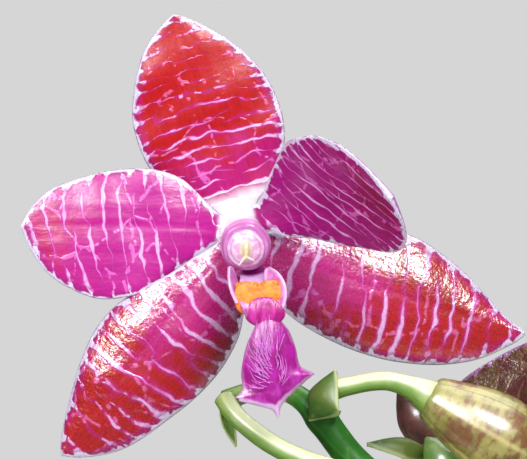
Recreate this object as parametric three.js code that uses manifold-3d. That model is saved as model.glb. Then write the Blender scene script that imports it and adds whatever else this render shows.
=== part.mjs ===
// A potted Phalaenopsis lueddemanniana, in millimetres, +Z up, standing on z = 0 with the pot's axis on Z.
// A clay pot filled with bark carries a short stem with six leaves in two ranks and a fan of thick roots.
// One arching flower stalk rises in front of the leaves. It bears an open bloom that faces -Y and two
// large buds, and a side branch carries a second bloom, which faces away, and two smaller buds.
import * as THREE from "three";
import Module from "manifold-3d";
import { mergeVertices } from "three/addons/utils/BufferGeometryUtils.js";

const wasm = await Module();
wasm.setup();

// Driving dimensions
const SEAT_GAP = 0.3; // between pieces that touch in life
const POT_HEIGHT = 112;
const POT_FOOT_RADIUS = 43;
const POT_LIP_RADIUS = 66;
const POT_WALL = 6;
const POT_COLLAR = 24;
const POT_FLOOR = 8;
const POT_FLARE = 20; // how much wider the inside is at the lip than at the floor
const DRAIN_HOLES = 4;
const DRAIN_RADIUS = 6;
const DRAIN_CIRCLE = 24;
const TURN_SIDES = 32;
const BARK_LEVEL = 97;
const STEM_BASE = 84;
const STEM_TOP = 150;
const STEM_RADIUS = 8;
const LEAF_THICKNESS = 2.4;
const LEAF_ROWS = 11;
const LEAF_COLUMNS = 6;
const TEPAL_THICKNESS = 1;
const TEPAL_ROWS = 9;
const TEPAL_COLUMNS = 6;
const STALK_FOOT_RADIUS = 2.6;
const STALK_TIP_RADIUS = 1.65;
const PEDICEL_RADIUS = 1.15;
const BLOOM = new THREE.Vector3(-30, -60, 295); // the open bloom's centre, where its column starts
const SECOND_BLOOM = new THREE.Vector3(50.3, 14, -16.2); // from the open bloom's centre
const SECOND_FACING = new THREE.Vector3(0.62, 0.6, -0.5);
const SECOND_SEPAL_AIM = new THREE.Vector3(-0.746, 0.65, -0.144); // where its right lateral sepal points
const SECOND_SCALE = 0.93;
const BARK_CHIPS = 36;

// Solids and meshes

// A closed mesh as a solid, with its faces turned outwards.
function toSolid(geometry) {
  const bare = geometry.clone();
  bare.deleteAttribute("normal");
  bare.deleteAttribute("uv");
  const merged = mergeVertices(bare, 1e-4);
  const index = new Uint32Array(merged.index.array);
  const build = () =>
    new wasm.Manifold(
      new wasm.Mesh({
        numProp: 3,
        vertProperties: new Float32Array(merged.attributes.position.array),
        triVerts: index,
      }),
    );
  const solid = build();
  if (solid.volume() > 0) return solid;
  for (let i = 0; i < index.length; i += 3) [index[i + 1], index[i + 2]] = [index[i + 2], index[i + 1]];
  return build();
}

function toGeometry(solid) {
  const found = solid.getMesh();
  const geometry = new THREE.BufferGeometry();
  geometry.setAttribute("position", new THREE.BufferAttribute(new Float32Array(found.vertProperties), 3));
  geometry.setIndex(new THREE.BufferAttribute(new Uint32Array(found.triVerts), 1));
  geometry.computeVertexNormals();
  return geometry;
}

// The largest body of a solid: loose scraps of a cut are dropped.
function largest(solid) {
  return solid.decompose().reduce((best, body) => (body.volume() > best.volume() ? body : best));
}

function joined(solids) {
  return solids.reduce((sum, solid) => sum.add(solid));
}

const plant = new THREE.Group();

function material(color, roughness) {
  return new THREE.MeshStandardMaterial({ color, roughness, metalness: 0 });
}

const CLAY = material(0xb5653c, 0.85);
const BARK = material(0x5c3b26, 0.95);
const STEM_GREEN = material(0x6d7a35, 0.6);
const LEAF_GREEN = material(0x4f7a2c, 0.4);
const ROOT_SILVER = material(0xa9ad97, 0.8);
const STALK_GREEN = material(0x2f6b25, 0.45);
const PEDICEL_PALE = material(0xc9d79a, 0.4);
const TEPAL_RED = material(0xb01848, 0.35);
const LIP_MAGENTA = material(0xb01a90, 0.4);
const COLUMN_PINK = material(0xd98fd0, 0.4);
const BUD_OLIVE = material(0xa8935a, 0.4);
const BUD_BROWN = material(0x6b3028, 0.5);

function piece(name, solid, finish, place) {
  const mesh = new THREE.Mesh(toGeometry(solid), finish);
  mesh.name = name;
  if (place) mesh.applyMatrix4(place);
  plant.add(mesh);
}

// Curves and profiles

const vec = (p) => new THREE.Vector3(...p);

// A smooth function through [[t, value], ...], with the slopes of its neighbours at each stop.
function through(stops) {
  const last = stops.length - 1;
  const slope = stops.map((stop, i) => {
    const [a, b] = [stops[Math.max(i - 1, 0)], stops[Math.min(i + 1, last)]];
    return (b[1] - a[1]) / (b[0] - a[0]);
  });
  return (t) => {
    let i = 0;
    while (i < last - 1 && t > stops[i + 1][0]) i++;
    const [[t0, v0], [t1, v1]] = [stops[i], stops[i + 1]];
    const span = t1 - t0;
    const u = Math.min(Math.max((t - t0) / span, 0), 1);
    const rise = v0 * (1 + 2 * u) * (1 - u) ** 2 + v1 * u * u * (3 - 2 * u);
    return rise + span * (slope[i] * u * (1 - u) ** 2 - slope[i + 1] * u * u * (1 - u));
  };
}

// A smooth path through points, by its share of the chord length.
function pathThrough(points) {
  const at = [0];
  for (let i = 1; i < points.length; i++) at.push(at[i - 1] + vec(points[i]).distanceTo(vec(points[i - 1])));
  const length = at[at.length - 1];
  const axes = [0, 1, 2].map((k) => through(points.map((p, i) => [at[i] / length, p[k]])));
  const where = (t) => new THREE.Vector3(axes[0](t), axes[1](t), axes[2](t));
  const along = (t) => where(Math.min(t + 1e-3, 1)).sub(where(Math.max(t - 1e-3, 0))).normalize();
  return { where, along, length };
}

// A closed body through rings of points. A strip cap joins a ring's two halves, and a fan cap its middle.
function loft(rings, stripCaps) {
  const size = rings[0].length;
  const half = size / 2;
  const positions = rings.flat().flatMap((p) => [p.x, p.y, p.z]);
  const index = [];
  for (let i = 0; i < rings.length - 1; i++) {
    for (let j = 0; j < size; j++) {
      const [a, b] = [i * size + j, i * size + ((j + 1) % size)];
      const [c, d] = [a + size, b + size];
      if (stripCaps && j >= half) index.push(a, b, c, b, d, c);
      else index.push(a, b, d, a, d, c);
    }
  }
  const cap = (start, flipped) => {
    if (stripCaps) {
      for (let j = 0; j < half - 1; j++) {
        const [a, b, c, d] = [start + j, start + j + 1, start + size - 2 - j, start + size - 1 - j];
        index.push(...(flipped ? [a, b, c, a, c, d] : [a, c, b, a, d, c]));
      }
      return;
    }
    const middle = new THREE.Vector3();
    for (let j = 0; j < size; j++) middle.add(new THREE.Vector3().fromArray(positions, 3 * (start + j)));
    middle.divideScalar(size);
    const centre = positions.length / 3;
    positions.push(middle.x, middle.y, middle.z);
    for (let j = 0; j < size; j++) {
      const [a, b] = [start + j, start + ((j + 1) % size)];
      index.push(...(flipped ? [a, b, centre] : [b, a, centre]));
    }
  };
  cap(0, false);
  cap((rings.length - 1) * size, true);
  const geometry = new THREE.BufferGeometry();
  geometry.setAttribute("position", new THREE.BufferAttribute(new Float32Array(positions), 3));
  geometry.setIndex(index);
  return toSolid(geometry);
}

// A round stem along points, with a radius at each share of its length, and its frame carried along.
function tube(points, radius, sides, steps, grow = 0) {
  const path = pathThrough(points);
  const size = typeof radius === "number" ? () => radius : through(radius);
  let side = new THREE.Vector3(1, 0.3, 0.1);
  const rings = [];
  for (let i = 0; i <= steps; i++) {
    const tangent = path.along(i / steps);
    side = side.clone().addScaledVector(tangent, -side.dot(tangent)).normalize();
    const other = new THREE.Vector3().crossVectors(tangent, side);
    const centre = path.where(i / steps);
    const r = size(i / steps) + grow;
    rings.push(
      Array.from({ length: sides }, (_, j) => {
        const turn = (2 * Math.PI * j) / sides;
        return centre
          .clone()
          .addScaledVector(side, r * Math.cos(turn))
          .addScaledVector(other, r * Math.sin(turn));
      }),
    );
  }
  return loft(rings, false);
}

// A leaf or tepal: a spine, the way that its face looks, its half widths on both sides, and how far its
// two edges stand in front of the spine (minus is behind). The plus side lies clockwise from the tip.
function blade(shape, rows, columns) {
  const path = pathThrough(shape.spine);
  const [plus, minus] = [through(shape.plus), through(shape.minus)];
  const [plusCurl, minusCurl] = [through(shape.plusCurl), through(shape.minusCurl)];
  const facing = [0, 1, 2].map((k) => through(shape.facing.map((f) => [f[0], f[k + 1]])));
  const rings = [];
  for (let i = 0; i <= rows; i++) {
    const t = i / rows;
    const tangent = path.along(t);
    const normal = new THREE.Vector3(facing[0](t), facing[1](t), facing[2](t));
    normal.addScaledVector(tangent, -normal.dot(tangent)).normalize();
    const side = new THREE.Vector3().crossVectors(tangent, normal);
    const row = [];
    for (let j = 0; j <= columns; j++) {
      const s = (2 * j) / columns - 1;
      const width = s > 0 ? plus(t) : minus(t);
      const curl = s > 0 ? plusCurl(t) : minusCurl(t);
      const wave = (shape.wave ?? 0) * s * s * Math.sin((shape.waves ?? 3) * Math.PI * t + (s > 0 ? 0 : 2));
      const lift = curl * Math.abs(s) ** (shape.roundness ?? 2) + wave;
      const middle = path.where(t).addScaledVector(side, s * width).addScaledVector(normal, lift);
      const depth = shape.thickness * (1 - (shape.taper ?? 0.35) * s * s) * (1 - 0.25 * t);
      row.push({ middle, normal, depth: Math.max(depth, 0.62) });
    }
    const front = row.map((p) => p.middle.clone().addScaledVector(p.normal, p.depth / 2));
    const back = row.map((p) => p.middle.clone().addScaledVector(p.normal, -p.depth / 2));
    rings.push([...front, ...back.reverse()]);
  }
  return loft(rings, true);
}

// A round body about a straight axis, such as a bud: [[share of length, radius], ...], with raised keels.
function bud(base, axis, length, profile, keels, keelHeight, sides, steps) {
  const size = through(profile);
  const along = vec(axis).normalize();
  const side = new THREE.Vector3(0, -1, 0).addScaledVector(along, along.y).normalize();
  const other = new THREE.Vector3().crossVectors(along, side);
  const rings = [];
  for (let i = 0; i <= steps; i++) {
    const t = i / steps;
    const centre = vec(base).addScaledVector(along, t * length);
    rings.push(
      Array.from({ length: sides }, (_, j) => {
        const turn = (2 * Math.PI * j) / sides;
        const r = Math.max(size(t), 0.12) * (1 + keelHeight * Math.cos(keels * turn));
        return centre
          .clone()
          .addScaledVector(side, r * Math.cos(turn))
          .addScaledVector(other, r * Math.sin(turn));
      }),
    );
  }
  return loft(rings, false);
}

// A body turned on the pot's axis from [[radius, height], ...], drawn up its outside and down its inside.
function turned(profile) {
  const geometry = new THREE.LatheGeometry(profile.map(([x, y]) => new THREE.Vector2(x, y)), TURN_SIDES);
  geometry.rotateX(Math.PI / 2);
  return toSolid(geometry);
}

// A repeatable draw from 0 to 1.
function drawFrom(seed) {
  let state = seed;
  return () => {
    state = (state + 0x6d2b79f5) | 0;
    let x = Math.imul(state ^ (state >>> 15), 1 | state);
    x = (x + Math.imul(x ^ (x >>> 7), 61 | x)) ^ x;
    return ((x ^ (x >>> 14)) >>> 0) / 4294967296;
  };
}

// Clay pot: a thrown body with a thick collar and four drain holes in its floor.

const potFlare = POT_FLARE / (POT_HEIGHT - POT_FLOOR);
const potInside = (z) => POT_FOOT_RADIUS - POT_WALL + (z - POT_FLOOR) * potFlare;
const collarFoot = POT_HEIGHT - POT_COLLAR;
const potProfile = [
  [0, 0],
  [POT_FOOT_RADIUS - 2, 0],
  [POT_FOOT_RADIUS, 2],
  [potInside(collarFoot) + POT_WALL, collarFoot - 1],
  [POT_LIP_RADIUS - 4, collarFoot],
  [POT_LIP_RADIUS - 2, collarFoot + 2],
  [POT_LIP_RADIUS, POT_HEIGHT - 3],
  [POT_LIP_RADIUS - 2, POT_HEIGHT],
  [potInside(POT_HEIGHT) + 2, POT_HEIGHT],
  [potInside(POT_HEIGHT), POT_HEIGHT - 2],
  [potInside(POT_FLOOR), POT_FLOOR],
  [0, POT_FLOOR],
];
let pot = turned(potProfile);
for (let i = 0; i < DRAIN_HOLES; i++) {
  const turn = ((i + 0.5) * 2 * Math.PI) / DRAIN_HOLES;
  const drill = new THREE.CylinderGeometry(DRAIN_RADIUS, DRAIN_RADIUS, 4 * POT_FLOOR, 12);
  drill.rotateX(Math.PI / 2);
  drill.translate(DRAIN_CIRCLE * Math.cos(turn), DRAIN_CIRCLE * Math.sin(turn), 0);
  pot = pot.subtract(toSolid(drill));
}
piece("pot", pot, CLAY);

// Stem: a short upright axis, flattened between the two ranks of leaves, with a ring at each leaf scar.

const stemProfile = [
  [0, STEM_RADIUS - 2.5],
  [0.25, STEM_RADIUS - 0.5],
  [0.6, STEM_RADIUS],
  [0.85, STEM_RADIUS - 1.5],
  [1, 3],
];

const STEM_FLATTEN = 0.72; // its thickness front to back, as a share of its width
const STEM_WAIST = 0.93; // every other ring is pinched to this share, at the leaf scars

function stemSolid(grow) {
  const size = through(stemProfile);
  const rings = [];
  const [steps, sides] = [11, 12];
  const rise = (STEM_TOP - STEM_BASE + 2 * grow) / steps;
  for (let i = 0; i <= steps; i++) {
    const z = STEM_BASE - grow + rise * i;
    const width = size(i / steps) * (i % 2 ? 1 : STEM_WAIST);
    rings.push(
      Array.from({ length: sides }, (_, j) => {
        const turn = (2 * Math.PI * j) / sides;
        const x = (width + grow) * Math.cos(turn);
        const y = (STEM_FLATTEN * width + grow) * Math.sin(turn);
        return new THREE.Vector3(x, y, z);
      }),
    );
  }
  return loft(rings, false);
}

piece("stem", stemSolid(0), STEM_GREEN);

// Leaves: thick straps that clasp the stem by a folded base, widen beyond the middle, and arch over.
// Each is given by the way it points, its route out from the stem as [out, up], and its greatest width.

const LEAVES = [
  {
    name: "leaf_1_oldest_left",
    turn: 187,
    width: 60,
    route: [[9.5, 109], [34, 119], [78, 127], [118, 118], [150, 93]],
    roll: 6,
  },
  {
    name: "leaf_2_low_right",
    turn: -9,
    width: 66,
    route: [[9.5, 116], [38, 133], [88, 147], [138, 139], [178, 112]],
    roll: -7,
  },
  {
    name: "leaf_3_left",
    turn: 174,
    width: 68,
    route: [[9.5, 123], [36, 147], [86, 171], [138, 172], [188, 150]],
    roll: -5,
  },
  {
    name: "leaf_4_right",
    turn: 8,
    width: 62,
    route: [[9, 130], [32, 158], [76, 190], [124, 202], [170, 192]],
    roll: 6,
  },
  {
    name: "leaf_5_upper_left",
    turn: 166,
    width: 50,
    route: [[8, 137], [24, 164], [56, 194], [92, 209], [124, 208]],
    roll: 8,
  },
  {
    name: "leaf_6_youngest",
    turn: 16,
    width: 26,
    route: [[6, 145], [13, 162], [24, 182], [38, 199]],
    roll: -4,
  },
];

function leafSolid(leaf) {
  const turn = THREE.MathUtils.degToRad(leaf.turn);
  const roll = THREE.MathUtils.degToRad(leaf.roll);
  const out = new THREE.Vector3(Math.cos(turn), Math.sin(turn), 0);
  const across = new THREE.Vector3(-Math.sin(turn), Math.cos(turn), 0);
  const spine = leaf.route.map(([r, z], i) => {
    const bend = 2.5 * Math.sin(roll) * i * i;
    const p = out.clone().multiplyScalar(r).addScaledVector(across, bend);
    return [p.x, p.y, z];
  });
  const face = (lean) => [
    across.x * Math.sin(roll) - out.x * lean,
    across.y * Math.sin(roll) - out.y * lean,
    1,
  ];
  const w = leaf.width / 2;
  const half = [
    [0, 6], [0.08, 7], [0.2, 0.42 * w], [0.4, 0.78 * w], [0.62, w], [0.8, 0.88 * w], [0.92, 0.56 * w],
    [1, 1.2],
  ];
  return blade(
    {
      spine,
      facing: [[0, ...face(1.2)], [0.4, ...face(0.3)], [1, ...face(0)]],
      plus: half,
      minus: half.map(([t, v]) => [t, v * 0.96]),
      plusCurl: [[0, 4.5], [0.2, 0.2 * w], [0.6, 0.16 * w], [0.9, 0.04 * w], [1, 0]],
      minusCurl: [[0, 4.5], [0.2, 0.2 * w], [0.6, 0.13 * w], [0.9, 0.03 * w], [1, 0]],
      roundness: 1.5,
      wave: 1.2,
      waves: 2.6,
      taper: 0.5,
      thickness: LEAF_THICKNESS,
    },
    LEAF_ROWS,
    LEAF_COLUMNS,
  );
}

const stemRoom = stemSolid(SEAT_GAP);
for (const leaf of LEAVES) piece(leaf.name, largest(leafSolid(leaf).subtract(stemRoom)), LEAF_GREEN);

// Roots: thick, silvery, out from the stem's foot. Some dive into the bark and some hang over the collar.

const ROOTS = [
  {
    name: "root_over_rim_left",
    route: [
      [-5.5, -2.6, 105], [-20, -11, 109], [-38, -21, 110], [-53, -30, 117], [-63, -35.5, 115.5],
      [-67, -38, 104], [-66, -37, 84], [-64, -32, 60],
    ],
    radius: [[0, 2.8], [0.7, 2.6], [0.95, 2.1], [1, 1]],
  },
  {
    name: "root_over_rim_back",
    route: [
      [2.4, 3.4, 104.5], [11, 21, 109], [21, 40, 110.5], [29, 55, 117], [34, 64.5, 114.5],
      [36.5, 68, 102], [36, 67, 80],
    ],
    radius: [[0, 2.6], [0.8, 2.4], [0.95, 2], [1, 1]],
  },
  {
    name: "root_front",
    route: [
      [1.9, -3.6, 103.5], [9, -19, 109], [18, -33, 108.5], [30, -40, 106], [39, -35, 100.5],
      [42, -27, 92],
    ],
    radius: [[0, 2.7], [0.7, 2.5], [0.95, 1.8], [1, 0.9]],
  },
  {
    name: "root_right",
    route: [[6, 1.4, 103.5], [20, 7, 108], [33, 13, 107], [42, 17, 101], [45.5, 19, 90]],
    radius: [[0, 2.8], [0.7, 2.5], [1, 2]],
  },
  {
    name: "root_back_left",
    route: [[-3.6, 3, 102.5], [-15, 16, 108], [-26, 27, 106], [-33, 33, 100], [-36, 36, 90]],
    radius: [[0, 2.5], [0.7, 2.4], [1, 1.9]],
  },
  {
    name: "root_free_tip",
    route: [[-1.8, -3.6, 111], [-8, -19, 118], [-11, -33, 116.5], [-20, -43, 113], [-27, -46, 111]],
    radius: [[0, 2.4], [0.75, 2.2], [0.94, 1.9], [1, 0.8]],
  },
];

for (const root of ROOTS) {
  const steps = Math.round(pathThrough(root.route).length / 6.5);
  piece(root.name, largest(tube(root.route, root.radius, 7, steps).subtract(stemRoom)), ROOT_SILVER);
}

// Bark: a plug that fills the pot, with chips of bark sunk in its top, and room for the stem and roots.

const plugProfile = [
  [0, POT_FLOOR + SEAT_GAP],
  [potInside(POT_FLOOR) - SEAT_GAP - 0.2, POT_FLOOR + SEAT_GAP],
  [potInside(BARK_LEVEL) - SEAT_GAP - 0.2, BARK_LEVEL],
  [0, BARK_LEVEL + 1],
];
let bark = turned(plugProfile);
const draw = drawFrom(7);
for (let i = 0; i < BARK_CHIPS; i++) {
  const out = (potInside(BARK_LEVEL) - 7.5) * Math.sqrt((i + 0.5) / BARK_CHIPS);
  const turn = i * 2.39996;
  const chip = new THREE.BoxGeometry(11 + 6 * draw(), 7.5 + 4 * draw(), 4.5 + 3 * draw());
  const corners = chip.attributes.position;
  const squeeze = 0.62 + 0.3 * draw();
  for (let k = 0; k < corners.count; k++) {
    if (corners.getZ(k) > 0) corners.setXY(k, corners.getX(k) * squeeze, corners.getY(k) * squeeze);
  }
  chip.rotateX(0.9 * (draw() - 0.5));
  chip.rotateY(0.9 * (draw() - 0.5));
  chip.rotateZ(2 * Math.PI * draw());
  chip.translate(out * Math.cos(turn), out * Math.sin(turn), BARK_LEVEL + 0.5 + 2.5 * draw());
  bark = bark.add(toSolid(chip));
}
const barkRoom = new THREE.CylinderGeometry(
  potInside(POT_HEIGHT) - SEAT_GAP,
  potInside(POT_FLOOR) - SEAT_GAP,
  POT_HEIGHT - POT_FLOOR,
  TURN_SIDES,
);
barkRoom.rotateX(Math.PI / 2);
barkRoom.translate(0, 0, (POT_HEIGHT + POT_FLOOR) / 2 + SEAT_GAP);
bark = bark.intersect(toSolid(barkRoom));
bark = bark.subtract(stemSolid(SEAT_GAP));
for (const root of ROOTS) {
  const steps = Math.round(pathThrough(root.route).length / 6.5);
  bark = bark.subtract(tube(root.route, root.radius, 7, steps, SEAT_GAP));
}
piece("bark_medium", largest(bark), BARK);

// From here on, positions are taken from the open bloom's centre: x to its left and right as it is seen
// from the front, y away from the viewer, z up.

const FROM_BLOOM = new THREE.Matrix4().makeTranslation(BLOOM.x, BLOOM.y, BLOOM.z);

// Tepals: three sepals and two petals. They overlap in the order of their distance from the viewer.

const TEPALS = {
  dorsal_sepal: {
    spine: [[-0.75, 2.6, 2.6], [-3.2, 2.1, 10.2], [-5.9, 1.4, 18.4], [-8.1, 1.6, 25.1]],
    facing: [[0, 0, -1, 0], [1, 0.05, -1, 0.1]],
    plus: [
      [0, 2.2], [0.1, 5], [0.22, 7], [0.33, 7.9], [0.45, 8.2], [0.58, 7.8], [0.7, 6.7], [0.8, 5.3],
      [0.9, 3.2], [1, 0.5],
    ],
    minus: [
      [0, 2.2], [0.1, 5], [0.22, 7.2], [0.33, 8.2], [0.45, 8.5], [0.58, 8.2], [0.7, 7.1], [0.8, 5.8],
      [0.9, 3.9], [1, 0.5],
    ],
    plusCurl: [[0, 0], [0.4, -0.7], [0.8, -0.5], [1, 0]],
    minusCurl: [[0, 0], [0.4, -0.8], [0.8, -0.6], [1, 0]],
  },
  petal_left: {
    spine: [[-2.6, 1.5, 0.3], [-9, 0.5, 0.6], [-17, -0.1, 0.8], [-25.6, 0.8, 0.7]],
    facing: [[0, 0, -1, 0], [0.5, 0, -1, 0.12], [1, -0.05, -1, 0.1]],
    plus: [
      [0, 1.6], [0.1, 3.6], [0.2, 5.6], [0.33, 6.6], [0.5, 6.6], [0.62, 6.1], [0.75, 5.2], [0.86, 4.1],
      [0.94, 2.4], [1, 0.4],
    ],
    minus: [
      [0, 1.5], [0.1, 3.2], [0.22, 5.2], [0.35, 7.4], [0.5, 8.4], [0.62, 8.4], [0.75, 7.3], [0.86, 5.6],
      [0.94, 3.2], [1, 0.4],
    ],
    plusCurl: [[0, 0], [0.4, -0.4], [0.8, -0.3], [1, 0]],
    minusCurl: [[0, 0], [0.3, 0.1], [0.6, -0.3], [1, 0]],
  },
  petal_right: {
    spine: [[2.5, -0.3, 1.6], [6.9, -3.2, 2.3], [11.6, -7.8, 2.8], [14.7, -12.6, 3.3], [16.3, -17, 3.7]],
    facing: [[0, -0.25, -0.9, -0.2], [0.4, -0.62, -0.6, -0.6], [1, -0.68, -0.5, -0.62]],
    plus: [
      [0, 1.6], [0.1, 2.6], [0.25, 3.6], [0.42, 5.2], [0.6, 6.4], [0.75, 6.3], [0.88, 4.9], [0.95, 3],
      [1, 0.5],
    ],
    minus: [
      [0, 1.6], [0.1, 4], [0.22, 6.6], [0.35, 8.4], [0.5, 9.2], [0.65, 8.9], [0.78, 7.6], [0.89, 5.3],
      [0.95, 3.2], [1, 0.5],
    ],
    plusCurl: [[0, 0], [0.5, 0.2], [0.85, 0.3], [1, 0]],
    minusCurl: [[0, 0], [0.5, -0.6], [0.85, -0.5], [1, 0]],
    wave: 0.25,
  },
  lateral_sepal_left: {
    spine: [[-2, 0.3, -2.2], [-8.2, -1.9, -9.4], [-14.5, -2, -17.5], [-20.8, 0.2, -25.7]],
    facing: [[0, 0, -1, 0], [0.5, 0, -1, 0], [1, -0.1, -1, 0.1]],
    plus: [
      [0, 1.4], [0.1, 2.3], [0.2, 3.1], [0.32, 4.6], [0.42, 5.6], [0.54, 5.8], [0.66, 5.1], [0.77, 4],
      [0.86, 2.9], [0.94, 1.6], [1, 0.4],
    ],
    minus: [
      [0, 1.5], [0.1, 4.6], [0.2, 7.1], [0.32, 8.3], [0.42, 8.5], [0.54, 8], [0.66, 7], [0.77, 6],
      [0.86, 4.7], [0.94, 2.6], [1, 0.4],
    ],
    plusCurl: [[0, 0], [0.2, 0.1], [0.5, -1.1], [0.8, -0.8], [1, 0]],
    minusCurl: [[0, 0.4], [0.15, -1.5], [0.4, -3], [0.7, -2], [1, 0]],
  },
  lateral_sepal_right: {
    spine: [[2.5, 1.3, -1.4], [10.5, 0.9, -4.9], [20.5, 0.2, -8], [32.6, 1.8, -11.9]],
    facing: [[0, 0, -1, 0], [0.5, 0, -1, 0], [1, 0.1, -1, 0.1]],
    plus: [
      [0, 1.4], [0.08, 4.2], [0.18, 6], [0.3, 7.1], [0.42, 7.7], [0.56, 7.6], [0.7, 6.7], [0.8, 5.5],
      [0.88, 4], [0.95, 2], [1, 0.4],
    ],
    minus: [
      [0, 1.4], [0.1, 3.4], [0.25, 5.6], [0.4, 6.9], [0.52, 6.9], [0.64, 5.9], [0.75, 4.5], [0.85, 2.7],
      [0.93, 1.2], [1, 0.4],
    ],
    plusCurl: [[0, 0], [0.15, -0.5], [0.5, -1.6], [0.8, -1.1], [1, 0]],
    minusCurl: [[0, 0], [0.2, -1], [0.5, -2.2], [0.8, -1.4], [1, 0]],
  },
};

// Column: the fused stamens and style, wider at its hooded end, which carries the cap over the pollen.
// Its foot reaches forward and down to the lip.

const COLUMN_PATH = [[0, 4.3, 0.4], [0, 1.5, 0.3], [0.1, -2, -0.4], [0.3, -5, -1.2], [0.35, -7.2, -1.7]];
const COLUMN_RADII = [[0, 1.5], [0.1, 2.15], [0.4, 2.1], [0.8, 2.75], [0.94, 2.7], [1, 2.1]];
const FOOT_PATH = [[0, 1.2, -0.9], [0.35, -0.6, -2.5], [0.75, -2.3, -3.6]];
const FOOT_RADII = [[0, 0.9], [0.6, 0.95], [1, 0.8]];
const CAP_OUTLINE = [[0, 1.9], [0.5, 1.7], [0.85, 1], [1, 0.3]];
const BEAK_OUTLINE = [[0, 0.9], [0.5, 0.6], [1, 0.15]];
const HOLLOW_OUTLINE = [[0, 1.3], [0.6, 1.2], [1, 0.4]];

function columnSolid() {
  const body = tube(COLUMN_PATH, COLUMN_RADII, 12, 8).add(tube(FOOT_PATH, FOOT_RADII, 8, 3));
  const cap = bud([0.35, -6.2, -1.9], [0.02, -1, -0.1], 2.4, CAP_OUTLINE, 2, 0.05, 8, 3);
  const beak = bud([0.3, -6.9, -2.2], [-0.25, -0.55, -0.85], 2, BEAK_OUTLINE, 2, 0, 6, 2);
  const hollow = bud([0.35, -7.5, -4.4], [0, 1, 0.35], 3.2, HOLLOW_OUTLINE, 2, 0, 6, 2);
  return body.subtract(hollow).add(cap).add(beak);
}

// Lip: a clawed plate that narrows to a waist and spreads into a spade with toothed corners, two upright
// side lobes beside the column, and a two-lobed callus between them.

const LIP_PLATE = {
  spine: [
    [0.8, -2.6, -4.1], [1.5, -5.4, -5.3], [2.1, -8, -7.6], [2.9, -8.9, -9.9], [3.3, -9.6, -13.7],
    [3.7, -9.6, -17.5], [4.0, -9.1, -20.7],
  ],
  facing: [[0, 0, -0.4, 0.9], [0.25, 0, -0.8, 0.6], [0.5, 0.05, -1, 0.1], [1, 0.05, -1, -0.05]],
  plus: [
    [0, 0.9], [0.14, 1.7], [0.3, 2.5], [0.41, 2.5], [0.455, 1.5], [0.5, 1.35], [0.6, 2.5], [0.7, 3.3],
    [0.78, 3.7], [0.85, 4.1], [0.9, 2.7], [0.95, 1.7], [1, 0.4],
  ],
  minus: [
    [0, 0.9], [0.14, 1.7], [0.3, 2.5], [0.41, 2.5], [0.455, 1.4], [0.5, 1.3], [0.6, 2.6], [0.7, 3.1],
    [0.77, 3.5], [0.81, 4.4], [0.87, 3], [0.93, 1.6], [1, 0.4],
  ],
  plusCurl: [[0, 0.4], [0.3, 0.5], [0.5, -0.3], [0.75, -0.9], [1, 0]],
  minusCurl: [[0, 0.4], [0.3, 0.5], [0.5, -0.3], [0.75, -0.9], [1, 0]],
  thickness: 1.1,
};

const SIDE_LOBES = [
  {
    spine: [[-0.3, -7.6, -8], [-1.1, -7.3, -6], [-1.5, -6.6, -3.9]],
    facing: [[0, 1, -0.3, 0], [1, 1, -0.5, 0]],
    plus: [[0, 1.3], [0.4, 1.5], [0.8, 1], [1, 0.3]],
    minus: [[0, 1.3], [0.4, 1.4], [0.8, 0.9], [1, 0.3]],
    plusCurl: [[0, 0], [1, 0.3]],
    minusCurl: [[0, 0], [1, 0.3]],
    thickness: 0.85,
  },
  {
    spine: [[4.3, -7.6, -8.4], [4, -7.5, -6.2], [2.9, -6.9, -4]],
    facing: [[0, -1, -0.5, 0], [1, -1, -0.9, 0]],
    plus: [[0, 1.3], [0.4, 1.5], [0.8, 1], [1, 0.3]],
    minus: [[0, 1.3], [0.4, 1.5], [0.8, 1], [1, 0.3]],
    plusCurl: [[0, 0], [1, 0.3]],
    minusCurl: [[0, 0], [1, 0.3]],
    thickness: 0.85,
  },
];

const CREST_OUTLINE = [[0, 0.5], [0.3, 1.35], [0.7, 1.4], [1, 0.5]];
const DOME_OUTLINE = [[0, 0.9], [0.4, 1.7], [0.8, 1.5], [1, 0.6]];

function lipSolid() {
  const plate = blade(LIP_PLATE, 20, 4);
  const lobes = SIDE_LOBES.map((lobe) => blade(lobe, 4, 2));
  const callus = [
    bud([0.75, -7.6, -5.9], [-0.05, -0.55, -0.85], 2.8, CREST_OUTLINE, 2, 0, 6, 3),
    bud([2.6, -7.6, -5.9], [0.15, -0.55, -0.85], 2.8, CREST_OUTLINE, 2, 0, 6, 3),
  ];
  const dome = bud([1.9, -8.2, -7.6], [0.25, -0.35, -0.9], 2.6, DOME_OUTLINE, 2, 0, 8, 3);
  return joined([plate, ...lobes, ...callus, dome]);
}

// Both blooms are built alike. The second one is a little smaller, and is turned by two aims: the way it
// faces, and the way its right lateral sepal points, which on the open bloom is SEPAL_ACROSS and SEPAL_UP.
const [SEPAL_ACROSS, SEPAL_UP] = [0.953, -0.303];
const facing = SECOND_FACING.clone().normalize();
const aim = SECOND_SEPAL_AIM.clone().addScaledVector(facing, -SECOND_SEPAL_AIM.dot(facing)).normalize();
const beside = new THREE.Vector3().crossVectors(facing, aim);
const FROM_SECOND = new THREE.Matrix4()
  .makeBasis(
    aim.clone().multiplyScalar(SEPAL_ACROSS).addScaledVector(beside, -SEPAL_UP),
    facing.clone().negate(),
    aim.clone().multiplyScalar(SEPAL_UP).addScaledVector(beside, SEPAL_ACROSS),
  )
  .scale(new THREE.Vector3(SECOND_SCALE, SECOND_SCALE, SECOND_SCALE))
  .setPosition(BLOOM.clone().add(SECOND_BLOOM));

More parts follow.
